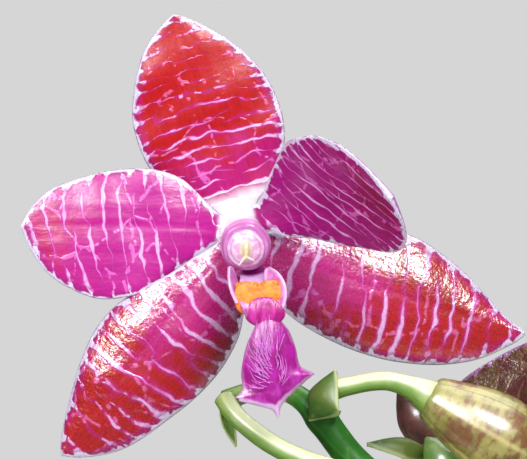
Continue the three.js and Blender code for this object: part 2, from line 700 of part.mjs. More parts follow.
for (const [suffix, place] of [["", FROM_BLOOM], ["_second", FROM_SECOND]]) {
  for (const [name, shape] of Object.entries(TEPALS)) {
    const tepal = blade({ thickness: TEPAL_THICKNESS, ...shape }, TEPAL_ROWS, TEPAL_COLUMNS);
    piece(name + suffix, tepal, TEPAL_RED, place);
  }
  piece("column" + suffix, columnSolid(), COLUMN_PINK, place);
  piece("lip" + suffix, lipSolid(), LIP_MAGENTA, place);
}

// Flower stalk: a smooth green axis that leaves the stem below the leaves, arches forward and to the
// left, and zigzags a little at its nodes, each of which has a boat-shaped bract.

const STALK = [
  [30.6, 55.6, -179.5], [33.2, 45, -169], [38, 28, -146], [43, 12, -112], [42.5, 3, -78], [34, 0.6, -50],
  [21, 0.4, -34], [12.6, 0.2, -26.2], [8.2, 0.6, -20.6], [5.4, 2.8, -18.4], [2.6, 3.8, -17.9],
  [0.2, 3.9, -18.1], [-1.9, 3, -18.9],
];
const STALK_RADII = [
  [0, STALK_FOOT_RADIUS], [0.4, 2.3], [0.72, 1.8], [0.87, STALK_TIP_RADIUS], [0.93, 1.15], [1, 1.1],
];
const BRANCH = [
  [42.6, 2.6, -80], [41, 5.6, -72], [40.5, 7.5, -60], [36, 9, -46], [29, 8.2, -36], [22.8, 6.8, -30.2],
  [18.2, 5.8, -28.4],
];
const BRANCH_RADII = [[0, 1.5], [0.5, 1.4], [0.85, 1.2], [1, 0.6]];

// Bracts, each from where it clasps the axis to its free tip, with the way that its hollow face looks.
const BRACTS = [
  {
    spine: [[36.4, 33.5, -153.5], [39, 23.5, -146], [42.5, 18, -136.5]],
    face: [-0.3, 0.9, 0.5],
    width: 3.4,
  },
  { spine: [[43.3, 14.5, -117], [46.3, 9, -111], [47.5, 6.8, -102]], face: [-0.9, 0.6, 0.3], width: 3.1 },
  { spine: [[42.5, 3.5, -82], [40.3, -0.4, -76], [38, -2, -68]], face: [0.5, 0.9, 0.4], width: 2.9 },
  {
    spine: [[7.4, -0.4, -21], [8.2, -1.8, -18.6], [10.3, -1.1, -16]],
    face: [0.75, 0.5, -0.4],
    width: 2.2,
  },
  { spine: [[-2.4, 3, -19.6], [-2, 2.2, -22], [-0.8, 1.8, -24.6]], face: [0.6, -0.5, 0.1], width: 1.2 },
  {
    spine: [[21.6, 5.8, -28.7], [18.6, 4.6, -26.6], [14.4, 4.2, -25.2]],
    face: [-0.2, 0.5, -0.9],
    width: 1.5,
  },
];

// Pedicels, from the axis to their bloom or bud
const PEDICELS = {
  pedicel_main: {
    route: [
      [3.5, 4.6, -17], [3, 7.2, -15], [2.9, 9.4, -11.5], [2.2, 10.3, -7.4], [1, 9.7, -3], [0.2, 7.3, 0],
      [0, 4.7, 0.4],
    ],
    radius: [[0, 0.95], [0.2, PEDICEL_RADIUS], [0.75, PEDICEL_RADIUS], [1, 1.35]],
    steps: 15,
  },
  pedicel_large_bud: {
    route: [
      [9, -1.2, -18.5], [11.8, -1.8, -17.7], [16.1, -2.2, -17], [19, -2.2, -17.7], [20.8, -2.2, -18.5],
    ],
    radius: [[0, 1.1], [0.5, 1.2], [1, 1.25]],
    steps: 8,
  },
  pedicel_low_bud: {
    route: [
      [-2.1, 1.7, -19.3], [-1.2, 0.3, -20.7], [0.4, -0.9, -22.2], [3.4, -1.9, -24.3], [7, -2.5, -26],
      [11.6, -3.1, -27.5], [15, -3.8, -29.4],
    ],
    radius: [[0, 1.2], [0.2, 1.15], [1, 1.2]],
    steps: 14,
  },
  pedicel_second: {
    route: [
      [37.6, 10.6, -47], [40, 9, -40], [40.6, 5.5, -30], [40.3, 3.4, -20], [41.3, 4.4, -13],
      [43.8, 7.2, -11], [46, 9.7, -12.3,
    ],
      [47.75, 11.46, -13.7]],
    radius: [[0, 1], [0.6, 1.15], [1, 1.2]],
    steps: 14,
  },
  pedicel_brown_bud: {
    route: [[30.3, 9.8, -34.6], [28.6, 11.6, -31], [26, 12, -28]],
    radius: [[0, 0.8], [1, 0.95]],
    steps: 5,
  },
  pedicel_green_bud: {
    route: [[24.4, 5.6, -33.4], [26.4, 3.4, -33.6], [27.4, 2.6, -32.2]],
    radius: [[0, 0.8], [1, 0.9]],
    steps: 5,
  },
};

const pedicelRooms = Object.values(PEDICELS).map((p) => tube(p.route, p.radius, 8, p.steps, SEAT_GAP));
let stalk = tube(STALK, STALK_RADII, 8, 38);
stalk = stalk.add(tube(BRANCH, BRANCH_RADII, 8, 13));
for (const bract of BRACTS) {
  const half = [[0, 0.8 * bract.width], [0.35, bract.width], [0.7, 0.6 * bract.width], [1, 0.25]];
  const curl = [[0, 0.9 * bract.width], [0.5, 0.6 * bract.width], [1, 0]];
  stalk = stalk.add(
    blade(
      {
        spine: bract.spine,
        facing: [[0, ...bract.face], [1, ...bract.face]],
        plus: half,
        minus: half,
        plusCurl: curl,
        minusCurl: curl,
        thickness: 0.8,
      },
      5,
      4,
    ),
  );
}
for (const room of pedicelRooms) stalk = stalk.subtract(room);
stalk = stalk.subtract(stemRoom.translate([-BLOOM.x, -BLOOM.y, -BLOOM.z]));
piece("flower_stalk", largest(stalk), STALK_GREEN, FROM_BLOOM);

for (const [name, p] of Object.entries(PEDICELS)) {
  piece(name, tube(p.route, p.radius, 8, p.steps), PEDICEL_PALE, FROM_BLOOM);
}

// Buds: closed sepals that meet in three keels, blunt at the base and drawn to a point.

const BUDS = {
  bud_large: {
    base: [21.15, -2.2, -18.75],
    axis: [0.9, -0.03, -0.438],
    length: 16.5,
    radius: 4.7,
    finish: BUD_OLIVE,
  },
  bud_low: {
    base: [15.25, -4, -29.65],
    axis: [0.68, -0.25, -0.69],
    length: 13,
    radius: 3.9,
    finish: BUD_OLIVE,
  },
  bud_brown: {
    base: [25.8, 12.1, -27.7],
    axis: [-0.55, 0.02, 0.83],
    length: 11.5,
    radius: 2.9,
    finish: BUD_BROWN,
  },
  bud_green: {
    base: [27.3, 2.7, -31],
    axis: [-0.35, 0.15, 0.85],
    length: 8.6,
    radius: 2.6,
    finish: STEM_GREEN,
  },
};
const BUD_OUTLINE = [
  [0, 0.36], [0.04, 0.74], [0.15, 0.9], [0.33, 0.99], [0.5, 1], [0.68, 0.86], [0.84, 0.55], [0.95, 0.24],
  [1, 0.06],
];
for (const [name, b] of Object.entries(BUDS)) {
  const outline = BUD_OUTLINE.map(([t, r]) => [t, r * b.radius]);
  piece(name, bud(b.base, b.axis, b.length, outline, 3, 0.045, 12, 8), b.finish, FROM_BLOOM);
}

export default plant;
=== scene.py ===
"""A potted Phalaenopsis lueddemanniana in bloom, seen close at its open flower, in a plain pale studio."""
import math
import random

import bmesh
import bpy
import numpy as np
from mathutils import Matrix, Vector


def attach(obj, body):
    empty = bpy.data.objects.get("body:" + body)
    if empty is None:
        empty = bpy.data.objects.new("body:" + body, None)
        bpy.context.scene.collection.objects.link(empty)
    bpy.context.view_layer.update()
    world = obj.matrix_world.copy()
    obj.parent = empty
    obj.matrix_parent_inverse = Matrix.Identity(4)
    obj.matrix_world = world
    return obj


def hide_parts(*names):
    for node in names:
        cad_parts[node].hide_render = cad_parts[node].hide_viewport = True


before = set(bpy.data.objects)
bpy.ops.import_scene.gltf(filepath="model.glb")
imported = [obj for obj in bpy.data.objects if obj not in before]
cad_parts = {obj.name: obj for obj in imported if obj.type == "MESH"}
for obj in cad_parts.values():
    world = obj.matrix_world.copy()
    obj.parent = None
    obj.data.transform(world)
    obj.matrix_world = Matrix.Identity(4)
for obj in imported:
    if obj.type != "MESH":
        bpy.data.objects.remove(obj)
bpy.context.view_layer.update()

# Clay pot
#
# A thrown clay pot, fired and unglazed, with a thick collar and four drain holes in its floor. It stands on
# the ground by its foot ring. Lime from the water has dried as a pale bloom, mostly low down and on the rim.


class Signal:
    """A value in a material, which can be written as an ordinary expression."""

    def __init__(self, finish, socket):
        self.finish = finish
        self.socket = socket

    def math(self, operation, *others):
        inputs = dict(enumerate((self, *others)))
        return self.finish.node("ShaderNodeMath", {"operation": operation}, inputs)

    def __add__(self, other):
        return self.math("ADD", other)

    def __sub__(self, other):
        return self.math("SUBTRACT", other)

    def __rsub__(self, other):
        return self * -1 + other

    def __mul__(self, other):
        return self.math("MULTIPLY", other)

    def __abs__(self):
        return self.math("ABSOLUTE")

    __radd__ = __add__
    __rmul__ = __mul__

    def most(self, other):
        """The greater of the two."""
        return self.math("MAXIMUM", other)

    def sine(self):
        return self.math("SINE")

    def rise(self, low, high):
        """0 below low and 1 above high, with a smooth step between, or the other way round."""
        settings = {"interpolation_type": "SMOOTHSTEP"}
        return self.finish.node("ShaderNodeMapRange", settings, {0: self, 1: low, 2: high})

    def spread(self, low, high, bottom, top):
        """A straight line from bottom at low to top at high, held beyond them."""
        return self.finish.node("ShaderNodeMapRange", {}, {0: self, 1: low, 2: high, 3: bottom, 4: top})


class Finish:
    """A material on one Principled shader, with its nodes added by expressions. Lengths are in mm."""

    def __init__(self, name, **uniform):
        self.material = bpy.data.materials.new(name)
        self.material.use_nodes = True
        self.tree = self.material.node_tree
        self.shader = self.tree.nodes["Principled BSDF"]
        for key, value in uniform.items():
            self.shader.inputs[key.replace("_", " ")].default_value = value
        self.lumps = None

    def node(self, kind, settings, inputs, output=0):
        """Adds a node with these settings, and these values or links on its sockets."""
        made = self.tree.nodes.new(kind)
        for key, value in settings.items():
            setattr(made, key, value)
        for key, value in inputs.items():
            if isinstance(value, Signal):
                self.tree.links.new(value.socket, made.inputs[key])
            elif isinstance(value, tuple) and made.inputs[key].type == "RGBA":
                made.inputs[key].default_value = (*value, 1.0)
            else:
                made.inputs[key].default_value = value
        return Signal(self, made.outputs[output])

    def attribute(self, name):
        """A per-point value that the mesh carries: its vector, and its three numbers."""
        vector = self.node("ShaderNodeAttribute", {"attribute_name": name}, {}, "Vector")
        return (vector, *self.parts(vector))

    def parts(self, vector):
        split = self.node("ShaderNodeSeparateXYZ", {}, {0: vector})
        return [Signal(self, socket) for socket in split.socket.node.outputs]

    def vector(self, x, y, z=0.0):
        return self.node("ShaderNodeCombineXYZ", {}, {0: x, 1: y, 2: z})

    def place(self):
        """Where the point is on the plant, in mm."""
        here = self.node("ShaderNodeTexCoord", {}, {}, "Object")
        return self.scaled(here, 1000.0)

    def scaled(self, vector, *by):
        by = by * 3 if len(by) == 1 else by
        return self.node("ShaderNodeVectorMath", {"operation": "MULTIPLY"}, {0: vector, 1: by})

    def shifted(self, vector, by):
        return self.node("ShaderNodeVectorMath", {"operation": "ADD"}, {0: vector, 1: by})

    def noise(self, vector, size, detail=2.0, roughness=0.5, distortion=0.0):
        """Soft noise about 0.5, with features of about that size."""
        inputs = {"Vector": vector, "Scale": 1 / size, "Detail": detail, "Roughness": roughness}
        inputs["Distortion"] = distortion
        return self.node("ShaderNodeTexNoise", {}, inputs)

    def cells(self, vector, size, feature):
        """Distances in a pattern of cells of about that size."""
        inputs = {"Vector": vector, "Scale": 1 / size}
        return self.node("ShaderNodeTexVoronoi", {"feature": feature}, inputs)

    def blend(self, factor, first, second):
        """The first colour at 0 and the second at 1."""
        inputs = {0: factor, 6: first, 7: second}
        return self.node("ShaderNodeMix", {"data_type": "RGBA"}, inputs, 2)

    def coated(self, ground, *coats):
        """A ground colour with coats over it, each given as (how much of it shows, red, green, blue)."""
        layer = ground if isinstance(ground, Signal) else colour(*ground)
        for share, *screen in coats:
            layer = self.blend(share, layer, colour(*screen))
        return layer

    def feed(self, socket, signal):
        self.tree.links.new(signal.socket, self.shader.inputs[socket])

    def bump(self, height):
        """Raises the surface by a height in mm. Later calls add to the earlier ones."""
        inputs = {"Height": height, "Distance": 0.001}
        if self.lumps:
            inputs["Normal"] = self.lumps
        self.lumps = self.node("ShaderNodeBump", {}, inputs)
        self.feed("Normal", self.lumps)


def colour(red, green, blue):
    """A colour from its 0-255 screen values."""
    return tuple(((c / 255 + 0.055) / 1.055) ** 2.4 if c > 10 else c / 3294.6 for c in (red, green, blue))


def shape_mesh(name, points, faces, attributes=(), merge=None):
    """A smooth-shaded object from points in mm, faces, and per-point vectors given as (name, rows).
    Points closer than merge, in mm, become one."""
    mesh = bpy.data.meshes.new(name)
    mesh.from_pydata((np.asarray(points, float) * 0.001).tolist(), [], faces)
    for key, rows in attributes:
        values = mesh.attributes.new(key, "FLOAT_VECTOR", "POINT").data
        values.foreach_set("vector", np.asarray(rows, np.float32).ravel())
    mesh.polygons.foreach_set("use_smooth", [True] * len(mesh.polygons))
    piece = bpy.data.objects.new(name, mesh)
    bpy.context.scene.collection.objects.link(piece)
    if merge:
        work = bmesh.new()
        work.from_mesh(mesh)
        bmesh.ops.remove_doubles(work, verts=work.verts, dist=merge * 0.001)
        bmesh.ops.dissolve_degenerate(work, edges=work.edges, dist=merge * 0.0005)
        bmesh.ops.recalc_face_normals(work, faces=work.faces)
        work.to_mesh(mesh)
        work.free()
    mesh.update()
    return piece


def loft_faces(rows, size):
    """The quads between rings of points that follow each other."""
    i, j = np.meshgrid(np.arange(rows - 1), np.arange(size), indexing="ij")
    a = i * size + j
    b = i * size + (j + 1) % size
    return np.stack([a, b, b + size, a + size], axis=-1).reshape(-1, 4).tolist()


def turned(name, profile, sides):
    """A body turned on the pot's axis from [(radius, height), ...]."""
    turn = np.linspace(0, 2 * np.pi, sides, endpoint=False)
    profile = np.array(profile, float)
    x = profile[:, :1] * np.cos(turn)
    y = profile[:, :1] * np.sin(turn)
    z = np.repeat(profile[:, 1:], sides, axis=1)
    points = np.stack([x, y, z], axis=-1).reshape(-1, 3)
    return shape_mesh(name, points, loft_faces(len(profile), sides), merge=0.02)


def finished(piece, finish, slot, *nodes):
    """Gives a piece its material, and ties it to the frame."""
    piece.data.materials.append(finish.material)
    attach(piece, "root")
    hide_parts(*nodes)


POT_HEIGHT = 112.0
POT_FOOT = 43.0
POT_LIP = 66.0
POT_FLOOR = 8.0
POT_WALL = 6.0
POT_FLARE = 20.0
POT_SIDES = 144
OUTER_RINGS = 40
INNER_RINGS = 20
COLLAR_FOOT = POT_HEIGHT - 24.0
DRAINS = 4
DRAIN_RADIUS = 6.0
DRAIN_OUT = 24.0


def pot_inside(z):
    """The inner radius of the pot at a height."""
    return POT_FOOT - POT_WALL + (z - POT_FLOOR) * POT_FLARE / (POT_HEIGHT - POT_FLOOR)


# Corners of the foot, the collar, the lip and its inner edge, as steps outwards and upwards.
FOOT_CORNERS = [(-9, 1.2), (-7.5, 0.4), (-6, 0), (-2.2, 0), (-1, 0.4), (-0.3, 1.2), (0, 2.2)]
COLLAR_CORNERS = [(-5, -0.2), (-3.2, 0.3), (-2.2, 1.4), (-1.9, 3), (-1.4, 8), (-0.9, 14), (-0.4, 19)]
LIP_CORNERS = [(-0.2, -3.6), (-0.6, -1.6), (-1.7, -0.5), (-3.2, 0)]
INNER_CORNERS = [(3.4, 0), (1.6, -0.4), (0.5, -1.4)]

pot_profile = [(0.01, 1.2), *((POT_FOOT + out, up) for out, up in FOOT_CORNERS)]
for step in range(1, OUTER_RINGS + 1):
    height = 2.2 + step * (COLLAR_FOOT - 3.4) / OUTER_RINGS
    ripple = 0.16 * math.sin(height * 0.9) + 0.1 * math.sin(height * 2.3)
    pot_profile.append((pot_inside(height) + POT_WALL + 0.4 * math.exp(-step) + ripple, height))
pot_profile.append((pot_inside(COLLAR_FOOT) + POT_WALL + 0.4, COLLAR_FOOT - 0.7))
pot_profile += [(POT_LIP + out, COLLAR_FOOT + up) for out, up in COLLAR_CORNERS]
pot_profile += [(POT_LIP + out, POT_HEIGHT + up) for out, up in LIP_CORNERS]
pot_profile += [(pot_inside(POT_HEIGHT) + out, POT_HEIGHT + up) for out, up in INNER_CORNERS]
for step in range(INNER_RINGS + 1):
    height = POT_HEIGHT - 3 - step * (POT_HEIGHT - 3 - POT_FLOOR) / INNER_RINGS
    pot_profile.append((pot_inside(height), height))
pot_profile += [(pot_inside(POT_FLOOR) - 2, POT_FLOOR - 0.3), (0.01, POT_FLOOR - 0.3)]
pot = turned("clay_pot", pot_profile, POT_SIDES)
for hole in range(DRAINS):
    angle = (hole + 0.5) * 2 * math.pi / DRAINS
    bpy.ops.mesh.primitive_cylinder_add(vertices=40, radius=DRAIN_RADIUS * 0.001, depth=0.04)
    drill = bpy.context.object
    drill.location = (0.001 * DRAIN_OUT * math.cos(angle), 0.001 * DRAIN_OUT * math.sin(angle), 0.0)
    cut = pot.modifiers.new("drain", "BOOLEAN")
    cut.operation = "DIFFERENCE"
    cut.solver = "EXACT"
    cut.object = drill
    bpy.context.view_layer.objects.active = pot
    bpy.ops.object.modifier_apply(modifier=cut.name)
    bpy.data.objects.remove(drill)
pot.data.shade_smooth()
edge_split = pot.modifiers.new("hard_edges", "EDGE_SPLIT")
edge_split.split_angle = math.radians(40)

clay = Finish("fired_clay", Roughness=0.85)
here = clay.place()
z = clay.parts(here)[2]
blotch = clay.noise(here, 34.0, 4.0, 0.6)
grain = clay.noise(here, 1.4, 3.0, 0.7)
streaks = clay.noise(clay.scaled(here, 1.0, 1.0, 0.22), 9.0, 4.0, 0.6)
lime = (streaks + blotch * 0.5 + z.spread(60.0, 4.0, 0.0, 0.17) + z.rise(96.0, 112.0) * 0.1).rise(0.80, 1.04)
clay.feed("Base Color", clay.coated(
    (172, 92, 58), (blotch.rise(0.3, 0.7), 196, 116, 76), (grain.rise(0.52, 0.78) * 0.35, 150, 72, 44),
    (lime * 0.62, 222, 204, 184),
))
clay.feed("Roughness", 0.78 + lime * 0.12 + grain * 0.06)
clay.bump(grain * 0.12 + clay.noise(here, 0.5, 2.0) * 0.06 + lime * 0.05)
clay.bump((z * 5.2 + blotch * 4.0).sine() * 0.03)
finished(pot, clay, "clay", "pot")

# Bark
#
# Graded pine bark: flat chips with weathered brown backs and paler broken edges, packed to below the rim.
# The chips lie loose on each other and wedge the roots and the stem.

BARK_TOP = 97.0
BARK_GAP = 0.6
PLUG_SIDES = 64
CHIPS = 330
CHIP_GRID = (5, 4, 3)
GOLDEN_ANGLE = 2.39996
rng = random.Random(11)
plug_profile = [
    (0.01, POT_FLOOR + 0.3), (pot_inside(POT_FLOOR) - BARK_GAP, POT_FLOOR + 0.3),
    (pot_inside(BARK_TOP) - BARK_GAP, BARK_TOP - 5), (0.01, BARK_TOP - 4),
]
bark_points, bark_tones = [], []
for radius, height in plug_profile:
    for a in np.linspace(0, 2 * np.pi, PLUG_SIDES, endpoint=False):
        bark_points.append((radius * math.cos(a), radius * math.sin(a), height))
        bark_tones.append((0.5, 0.0, 0.0))
bark_faces = loft_faces(len(plug_profile), PLUG_SIDES)


def chip_points(length, width, depth):
    """A flat broken chip as the outer points of a small grid box, rounded and roughened."""
    points = {}
    lean = rng.uniform(-0.25, 0.25)
    for i, j, k in np.ndindex(CHIP_GRID):
        if 0 < i < 4 and 0 < j < 3 and 0 < k < 2:
            continue
        u, v, w = i / 2 - 1, 2 * j / 3 - 1, k - 1.0
        pinch = 1 - 0.10 * (abs(u) ** 3 + abs(v) ** 3) - 0.08 * abs(w)
        jog = [rng.uniform(-0.09, 0.09) for _ in range(3)]
        x = length / 2 * (u * pinch + jog[0]) + lean * width * v
        y = width / 2 * (v * pinch + jog[1])
        z = depth / 2 * (w * (1 - 0.3 * (abs(u) ** 4 + abs(v) ** 4) / 2) + 1.6 * jog[2])
        points[i, j, k] = (x, y, z + 0.06 * length * u * u * lean)
    return points


def add_chip(centre, size, rotation, tone):
    """Adds a chip to the bark, pushed in where it would meet the pot's wall. Its points carry
    chip = (tone of the chip, height in it, speck)."""
    index = {}
    for key, p in chip_points(*size).items():
        moved = rotation @ Vector(p) + Vector(centre)
        out = math.hypot(moved.x, moved.y)
        room = pot_inside(min(moved.z, POT_HEIGHT)) - BARK_GAP
        if out > room:
            moved.x *= room / out
            moved.y *= room / out
        index[key] = len(bark_points)
        bark_points.append(tuple(moved))
        bark_tones.append((tone, p[2] / size[2], rng.random()))
    for fixed in range(3):
        first, second = [axis for axis in range(3) if axis != fixed]
        for level in (0, CHIP_GRID[fixed] - 1):
            for p, q in np.ndindex(CHIP_GRID[first] - 1, CHIP_GRID[second] - 1):
                corners = []
                for dp, dq in ((0, 0), (1, 0), (1, 1), (0, 1)):
                    key = [level] * 3
                    key[first] = p + dp
                    key[second] = q + dq
                    corners.append(index[tuple(key)])
                bark_faces.append(corners if (level == 0) == (fixed == 1) else corners[::-1])


for i in range(CHIPS):
    out = (pot_inside(BARK_TOP) - 4.5) * math.sqrt((i + 0.5) / CHIPS)
    angle = i * GOLDEN_ANGLE
    level = BARK_TOP - 3.4 + 4.2 * rng.random() + (0 if i % 3 else 1.4)
    size = (rng.uniform(9, 16), rng.uniform(6.5, 10.5), rng.uniform(2.2, 5.0))
    tilt = Matrix.Rotation(rng.uniform(0, 6.3), 3, "Z") @ Matrix.Rotation(rng.gauss(0, 0.33), 3, "X")
    tilt = tilt @ Matrix.Rotation(rng.gauss(0, 0.33), 3, "Y")
    add_chip((out * math.cos(angle), out * math.sin(angle), level), size, tilt, rng.random())
bark = shape_mesh("bark_chips", bark_points, bark_faces, [("chip", bark_tones)])
bark.data.polygons.foreach_set("use_smooth", [False] * len(bark.data.polygons))

chips = Finish("pine_bark", Roughness=0.93)
tone = chips.attribute("chip")[1]
here = chips.place()
layers = chips.noise(chips.scaled(here, 1.0, 1.0, 3.0), 3.0, 4.0, 0.65)
fine = chips.noise(here, 0.8, 3.0, 0.7)
chips.feed("Base Color", chips.coated(
    (92, 52, 32), (tone.rise(0.1, 0.9), 146, 92, 58), (layers.rise(0.42, 0.7), 66, 38, 26),
    (tone.rise(0.86, 0.9) * 0.6, 176, 128, 84), (fine.rise(0.55, 0.8) * 0.5, 176, 140, 104),
))
chips.feed("Roughness", 0.86 + fine * 0.12)
chips.bump(layers * 0.8 + fine * 0.35)
finished(bark, chips, "bark", "bark_medium")

# Stem
#
# A short upright stem, flattened between its two ranks of leaves. Each pinched ring is the scar of a leaf
# that has dropped, with a dry papery edge.


def through(stops):
    """A smooth curve through [(t, value, ...), ...], with its neighbours' slope at each stop."""
    stops = np.array(stops, float)
    at, value = stops[:, 0], stops[:, 1:]
    low = np.maximum(np.arange(len(at)) - 1, 0)
    high = np.minimum(np.arange(len(at)) + 1, len(at) - 1)
    slope = (value[high] - value[low]) / (at[high] - at[low])[:, None]

    def curve(t):
        t = np.atleast_1d(np.asarray(t, float))
        i = np.clip(np.searchsorted(at, t, side="left") - 1, 0, len(at) - 2)
        span = (at[i + 1] - at[i])[:, None]
        u = np.clip((t[:, None] - at[i][:, None]) / span, 0, 1)
        climb = value[i] * (1 + 2 * u) * (1 - u) ** 2 + value[i + 1] * u * u * (3 - 2 * u)
        climb = climb + span * (slope[i] * u * (1 - u) ** 2 - slope[i + 1] * u * u * (1 - u))
        return climb if climb.shape[1] > 1 else climb[:, 0]

    return curve


STEM_BASE, STEM_TOP = 84.0, 150.0
STEM_SCARS = 11
STEM_FLATNESS = 0.72
steps, sides = 132, 56
t = np.linspace(0, 1, steps + 1)
turn = np.linspace(0, 2 * np.pi, sides, endpoint=False)
width = through([(0, 5.5), (0.25, 7.5), (0.6, 8), (0.85, 6.5), (1, 3)])(t)
rings = np.cos(np.pi * (t * STEM_SCARS - 1))
width = width * (0.965 + 0.035 * np.tanh(2.6 * rings))
width[-3:] = width[-3:] * np.array([0.9, 0.65, 0.1])
points = np.stack([
    width[:, None] * np.cos(turn),
    STEM_FLATNESS * width[:, None] * np.sin(turn),
    np.repeat((STEM_BASE + (STEM_TOP - STEM_BASE) * t)[:, None], sides, axis=1),
], axis=-1).reshape(-1, 3)
caps = [list(range(sides)), list(range(steps * sides, (steps + 1) * sides))[::-1]]
span = np.stack([np.repeat(t, sides), np.repeat(rings, sides), np.zeros(len(points))], axis=-1)
stem = shape_mesh("stem_axis", points, loft_faces(steps + 1, sides) + caps, [("span", span)])

green = Finish("stem", Roughness=0.5)
ring = green.attribute("span")[2]
here = green.place()
ribs = green.noise(green.scaled(here, 1.0, 1.0, 0.12), 0.9, 2.0)
mottle = green.noise(here, 4.0, 3.0)
green.feed("Base Color", green.coated(
    (96, 118, 46), (mottle.rise(0.3, 0.7), 132, 146, 70), (ring.rise(-0.3, -0.9) * 0.8, 148, 124, 84),
    (ribs.rise(0.55, 0.75) * 0.3, 74, 88, 36),
))
green.bump(ribs * 0.18 + mottle * 0.1)
finished(stem, green, "stem", "stem")

# Leaves
#
# Thick, leathery, glossy straps with a sunk midrib. Each clasps the stem by a folded base and arches over
# by its own weight. The underside is paler, and the older leaves are duller and yellower at the margin.


def unit(v):
    return v / np.linalg.norm(v, axis=-1, keepdims=True)


class Route:
    """A smooth path through points, by its share of the chord length."""

    def __init__(self, points):
        points = np.array(points, float)
        at = np.concatenate([[0], np.cumsum(np.linalg.norm(np.diff(points, axis=0), axis=1))])
        self.length = at[-1]
        self.where = through(np.column_stack([at / self.length, points]))

    def along(self, t):
        return unit(self.where(np.minimum(t + 0.004, 1)) - self.where(np.maximum(t - 0.004, 0)))


def margin_distance(x, y, outline):
    """How far points are from a closed outline, all in mm on the flattened blade."""
    a = outline
    b = np.roll(outline, -1, axis=0)
    d = b - a
    size = np.maximum((d * d).sum(-1), 1e-9)
    found = []
    for px, py in zip(x, y):
        p = np.stack([px, py], axis=-1)[:, None, :]
        u = np.clip(((p - a) * d).sum(-1) / size, 0, 1)
        found.append(np.linalg.norm(p - (a + d * u[..., None]), axis=-1).min(-1))
    return np.array(found)


def blade(name, shape, rows, columns, edge=0.3):
    """A leaf or tepal: spine, facing, half widths and curls of its two sides, in mm. A small edge keeps it
    thick up to its margin. Its points carry blade = (mm across, mm along, mm from the margin) and
    span = (share along, share across, face)."""
    # Rows stand closer at both ends, and columns at both margins.
    t = 0.5 - 0.5 * np.cos(np.pi * np.linspace(0, 1, rows + 1))
    t = 0.55 * t + 0.45 * np.linspace(0, 1, rows + 1)
    u = np.linspace(-1, 1, columns + 1)
    s = 0.45 * u + 0.55 * np.sin(np.pi * u / 2)
    path = Route(shape["spine"])
    tangent = path.along(t)
    normal = through(shape["facing"])(t)
    normal = unit(normal - tangent * (normal * tangent).sum(-1, keepdims=True))
    side = np.cross(tangent, normal)
    right = s > 0

    def by_side(key):
        plus, minus = [through(shape[side + key])(t)[:, None] for side in ("plus", "minus")]
        return np.where(right, plus, minus)

    # The outline closes in a round at the tip.
    close = np.sqrt(np.clip(1 - ((t - 0.975) / 0.025).clip(0) ** 2, 0.0, 1))
    reach = by_side("") * close[:, None]
    if "teeth" in shape:
        reach = reach + shape["teeth"](t, s)
    waves = np.sin(shape.get("waves", 3) * np.pi * t[:, None] + np.where(right, 0, 2))
    lift = by_side("Curl") * np.abs(s) ** shape.get("roundness", 2) + shape.get("wave", 0) * s * s * waves
    across = s * reach
    down = np.repeat(t[:, None] * path.length, columns + 1, axis=1)
    if "relief" in shape:
        lift = lift + shape["relief"](t[:, None] + 0 * across, s + 0 * across, across, down)
    middle = path.where(t)[:, None, :] + side[:, None, :] * across[..., None]
    middle = middle + normal[:, None, :] * lift[..., None]
    taper = shape.get("taper", 0.35)
    depth = shape["thickness"] * (1 - taper * s * s) * (1 - 0.25 * t[:, None])
    depth = depth * np.sqrt(np.clip(1 - np.abs(s) ** (2 / edge), 0, 1))
    front = middle + normal[:, None, :] * depth[..., None] / 2
    back = (middle - normal[:, None, :] * depth[..., None] / 2)[:, ::-1]
    size = 2 * (columns + 1)
    points = np.concatenate([front, back], axis=1).reshape(-1, 3)
    outline = np.concatenate([
        np.stack([across[:, -1], down[:, -1]], -1), np.stack([across[::-1, 0], down[::-1, 0]], -1)
    ])
    far = margin_distance(across, down, outline[::2])

    def both(front_values, back_values):
        return np.concatenate([front_values, back_values[:, ::-1]], axis=1).reshape(-1)

    share = np.repeat(t[:, None], columns + 1, axis=1)
    cross = np.repeat(s[None, :], rows + 1, axis=0)
    ones = np.ones_like(share)
    blade_rows = np.stack([both(across, across), both(down, down), both(far, far)], axis=-1)
    span_rows = np.stack([both(share, share), both(cross, cross), both(ones, -ones)], axis=-1)
    caps = []
    for row in (0, rows):
        for j in range(columns):
            a, b = row * size + j, row * size + j + 1
            c, d = row * size + size - 2 - j, row * size + size - 1 - j
            caps.append([a, b, c, d] if row else [b, a, d, c])
    faces = loft_faces(rows + 1, size) + caps
    return shape_mesh(name, points, faces, [("blade", blade_rows), ("span", span_rows)], merge=0.004)


# Each leaf's name, heading in degrees, width, (distance from the stem, height) along it, and its roll.
LEAVES = [
    ("leaf_1_oldest_left", 187, 60, [(9.5, 109), (34, 119), (78, 127), (118, 118), (150, 93)], 6),
    ("leaf_2_low_right", -9, 66, [(9.5, 116), (38, 133), (88, 147), (138, 139), (178, 112)], -7),
    ("leaf_3_left", 174, 68, [(9.5, 123), (36, 147), (86, 171), (138, 172), (188, 150)], -5),
    ("leaf_4_right", 8, 62, [(9, 130), (32, 158), (76, 190), (124, 202), (170, 192)], 6),
    ("leaf_5_upper_left", 166, 50, [(8, 137), (24, 164), (56, 194), (92, 209), (124, 208)], 8),
    ("leaf_6_youngest", 16, 26, [(6, 145), (13, 162), (24, 182), (38, 199)], -4),
]


def leaf_relief(t, s, x, y):
    """A sunk midrib, faint lengthwise veins, and slow undulation."""
    groove = -1.1 * np.exp(-((x / 1.7) ** 2)) * np.clip(1 - t, 0, 1) ** 0.6
    veins = 0.05 * np.cos(x * 1.9) * (1 - s * s)
    slow = 0.9 * s * np.sin(5.2 * t + 1.3) * np.sin(np.pi * t) + 0.35 * np.sin(9 * t + 2 * s)
    return groove + veins + slow * np.clip(6 * t, 0, 1)


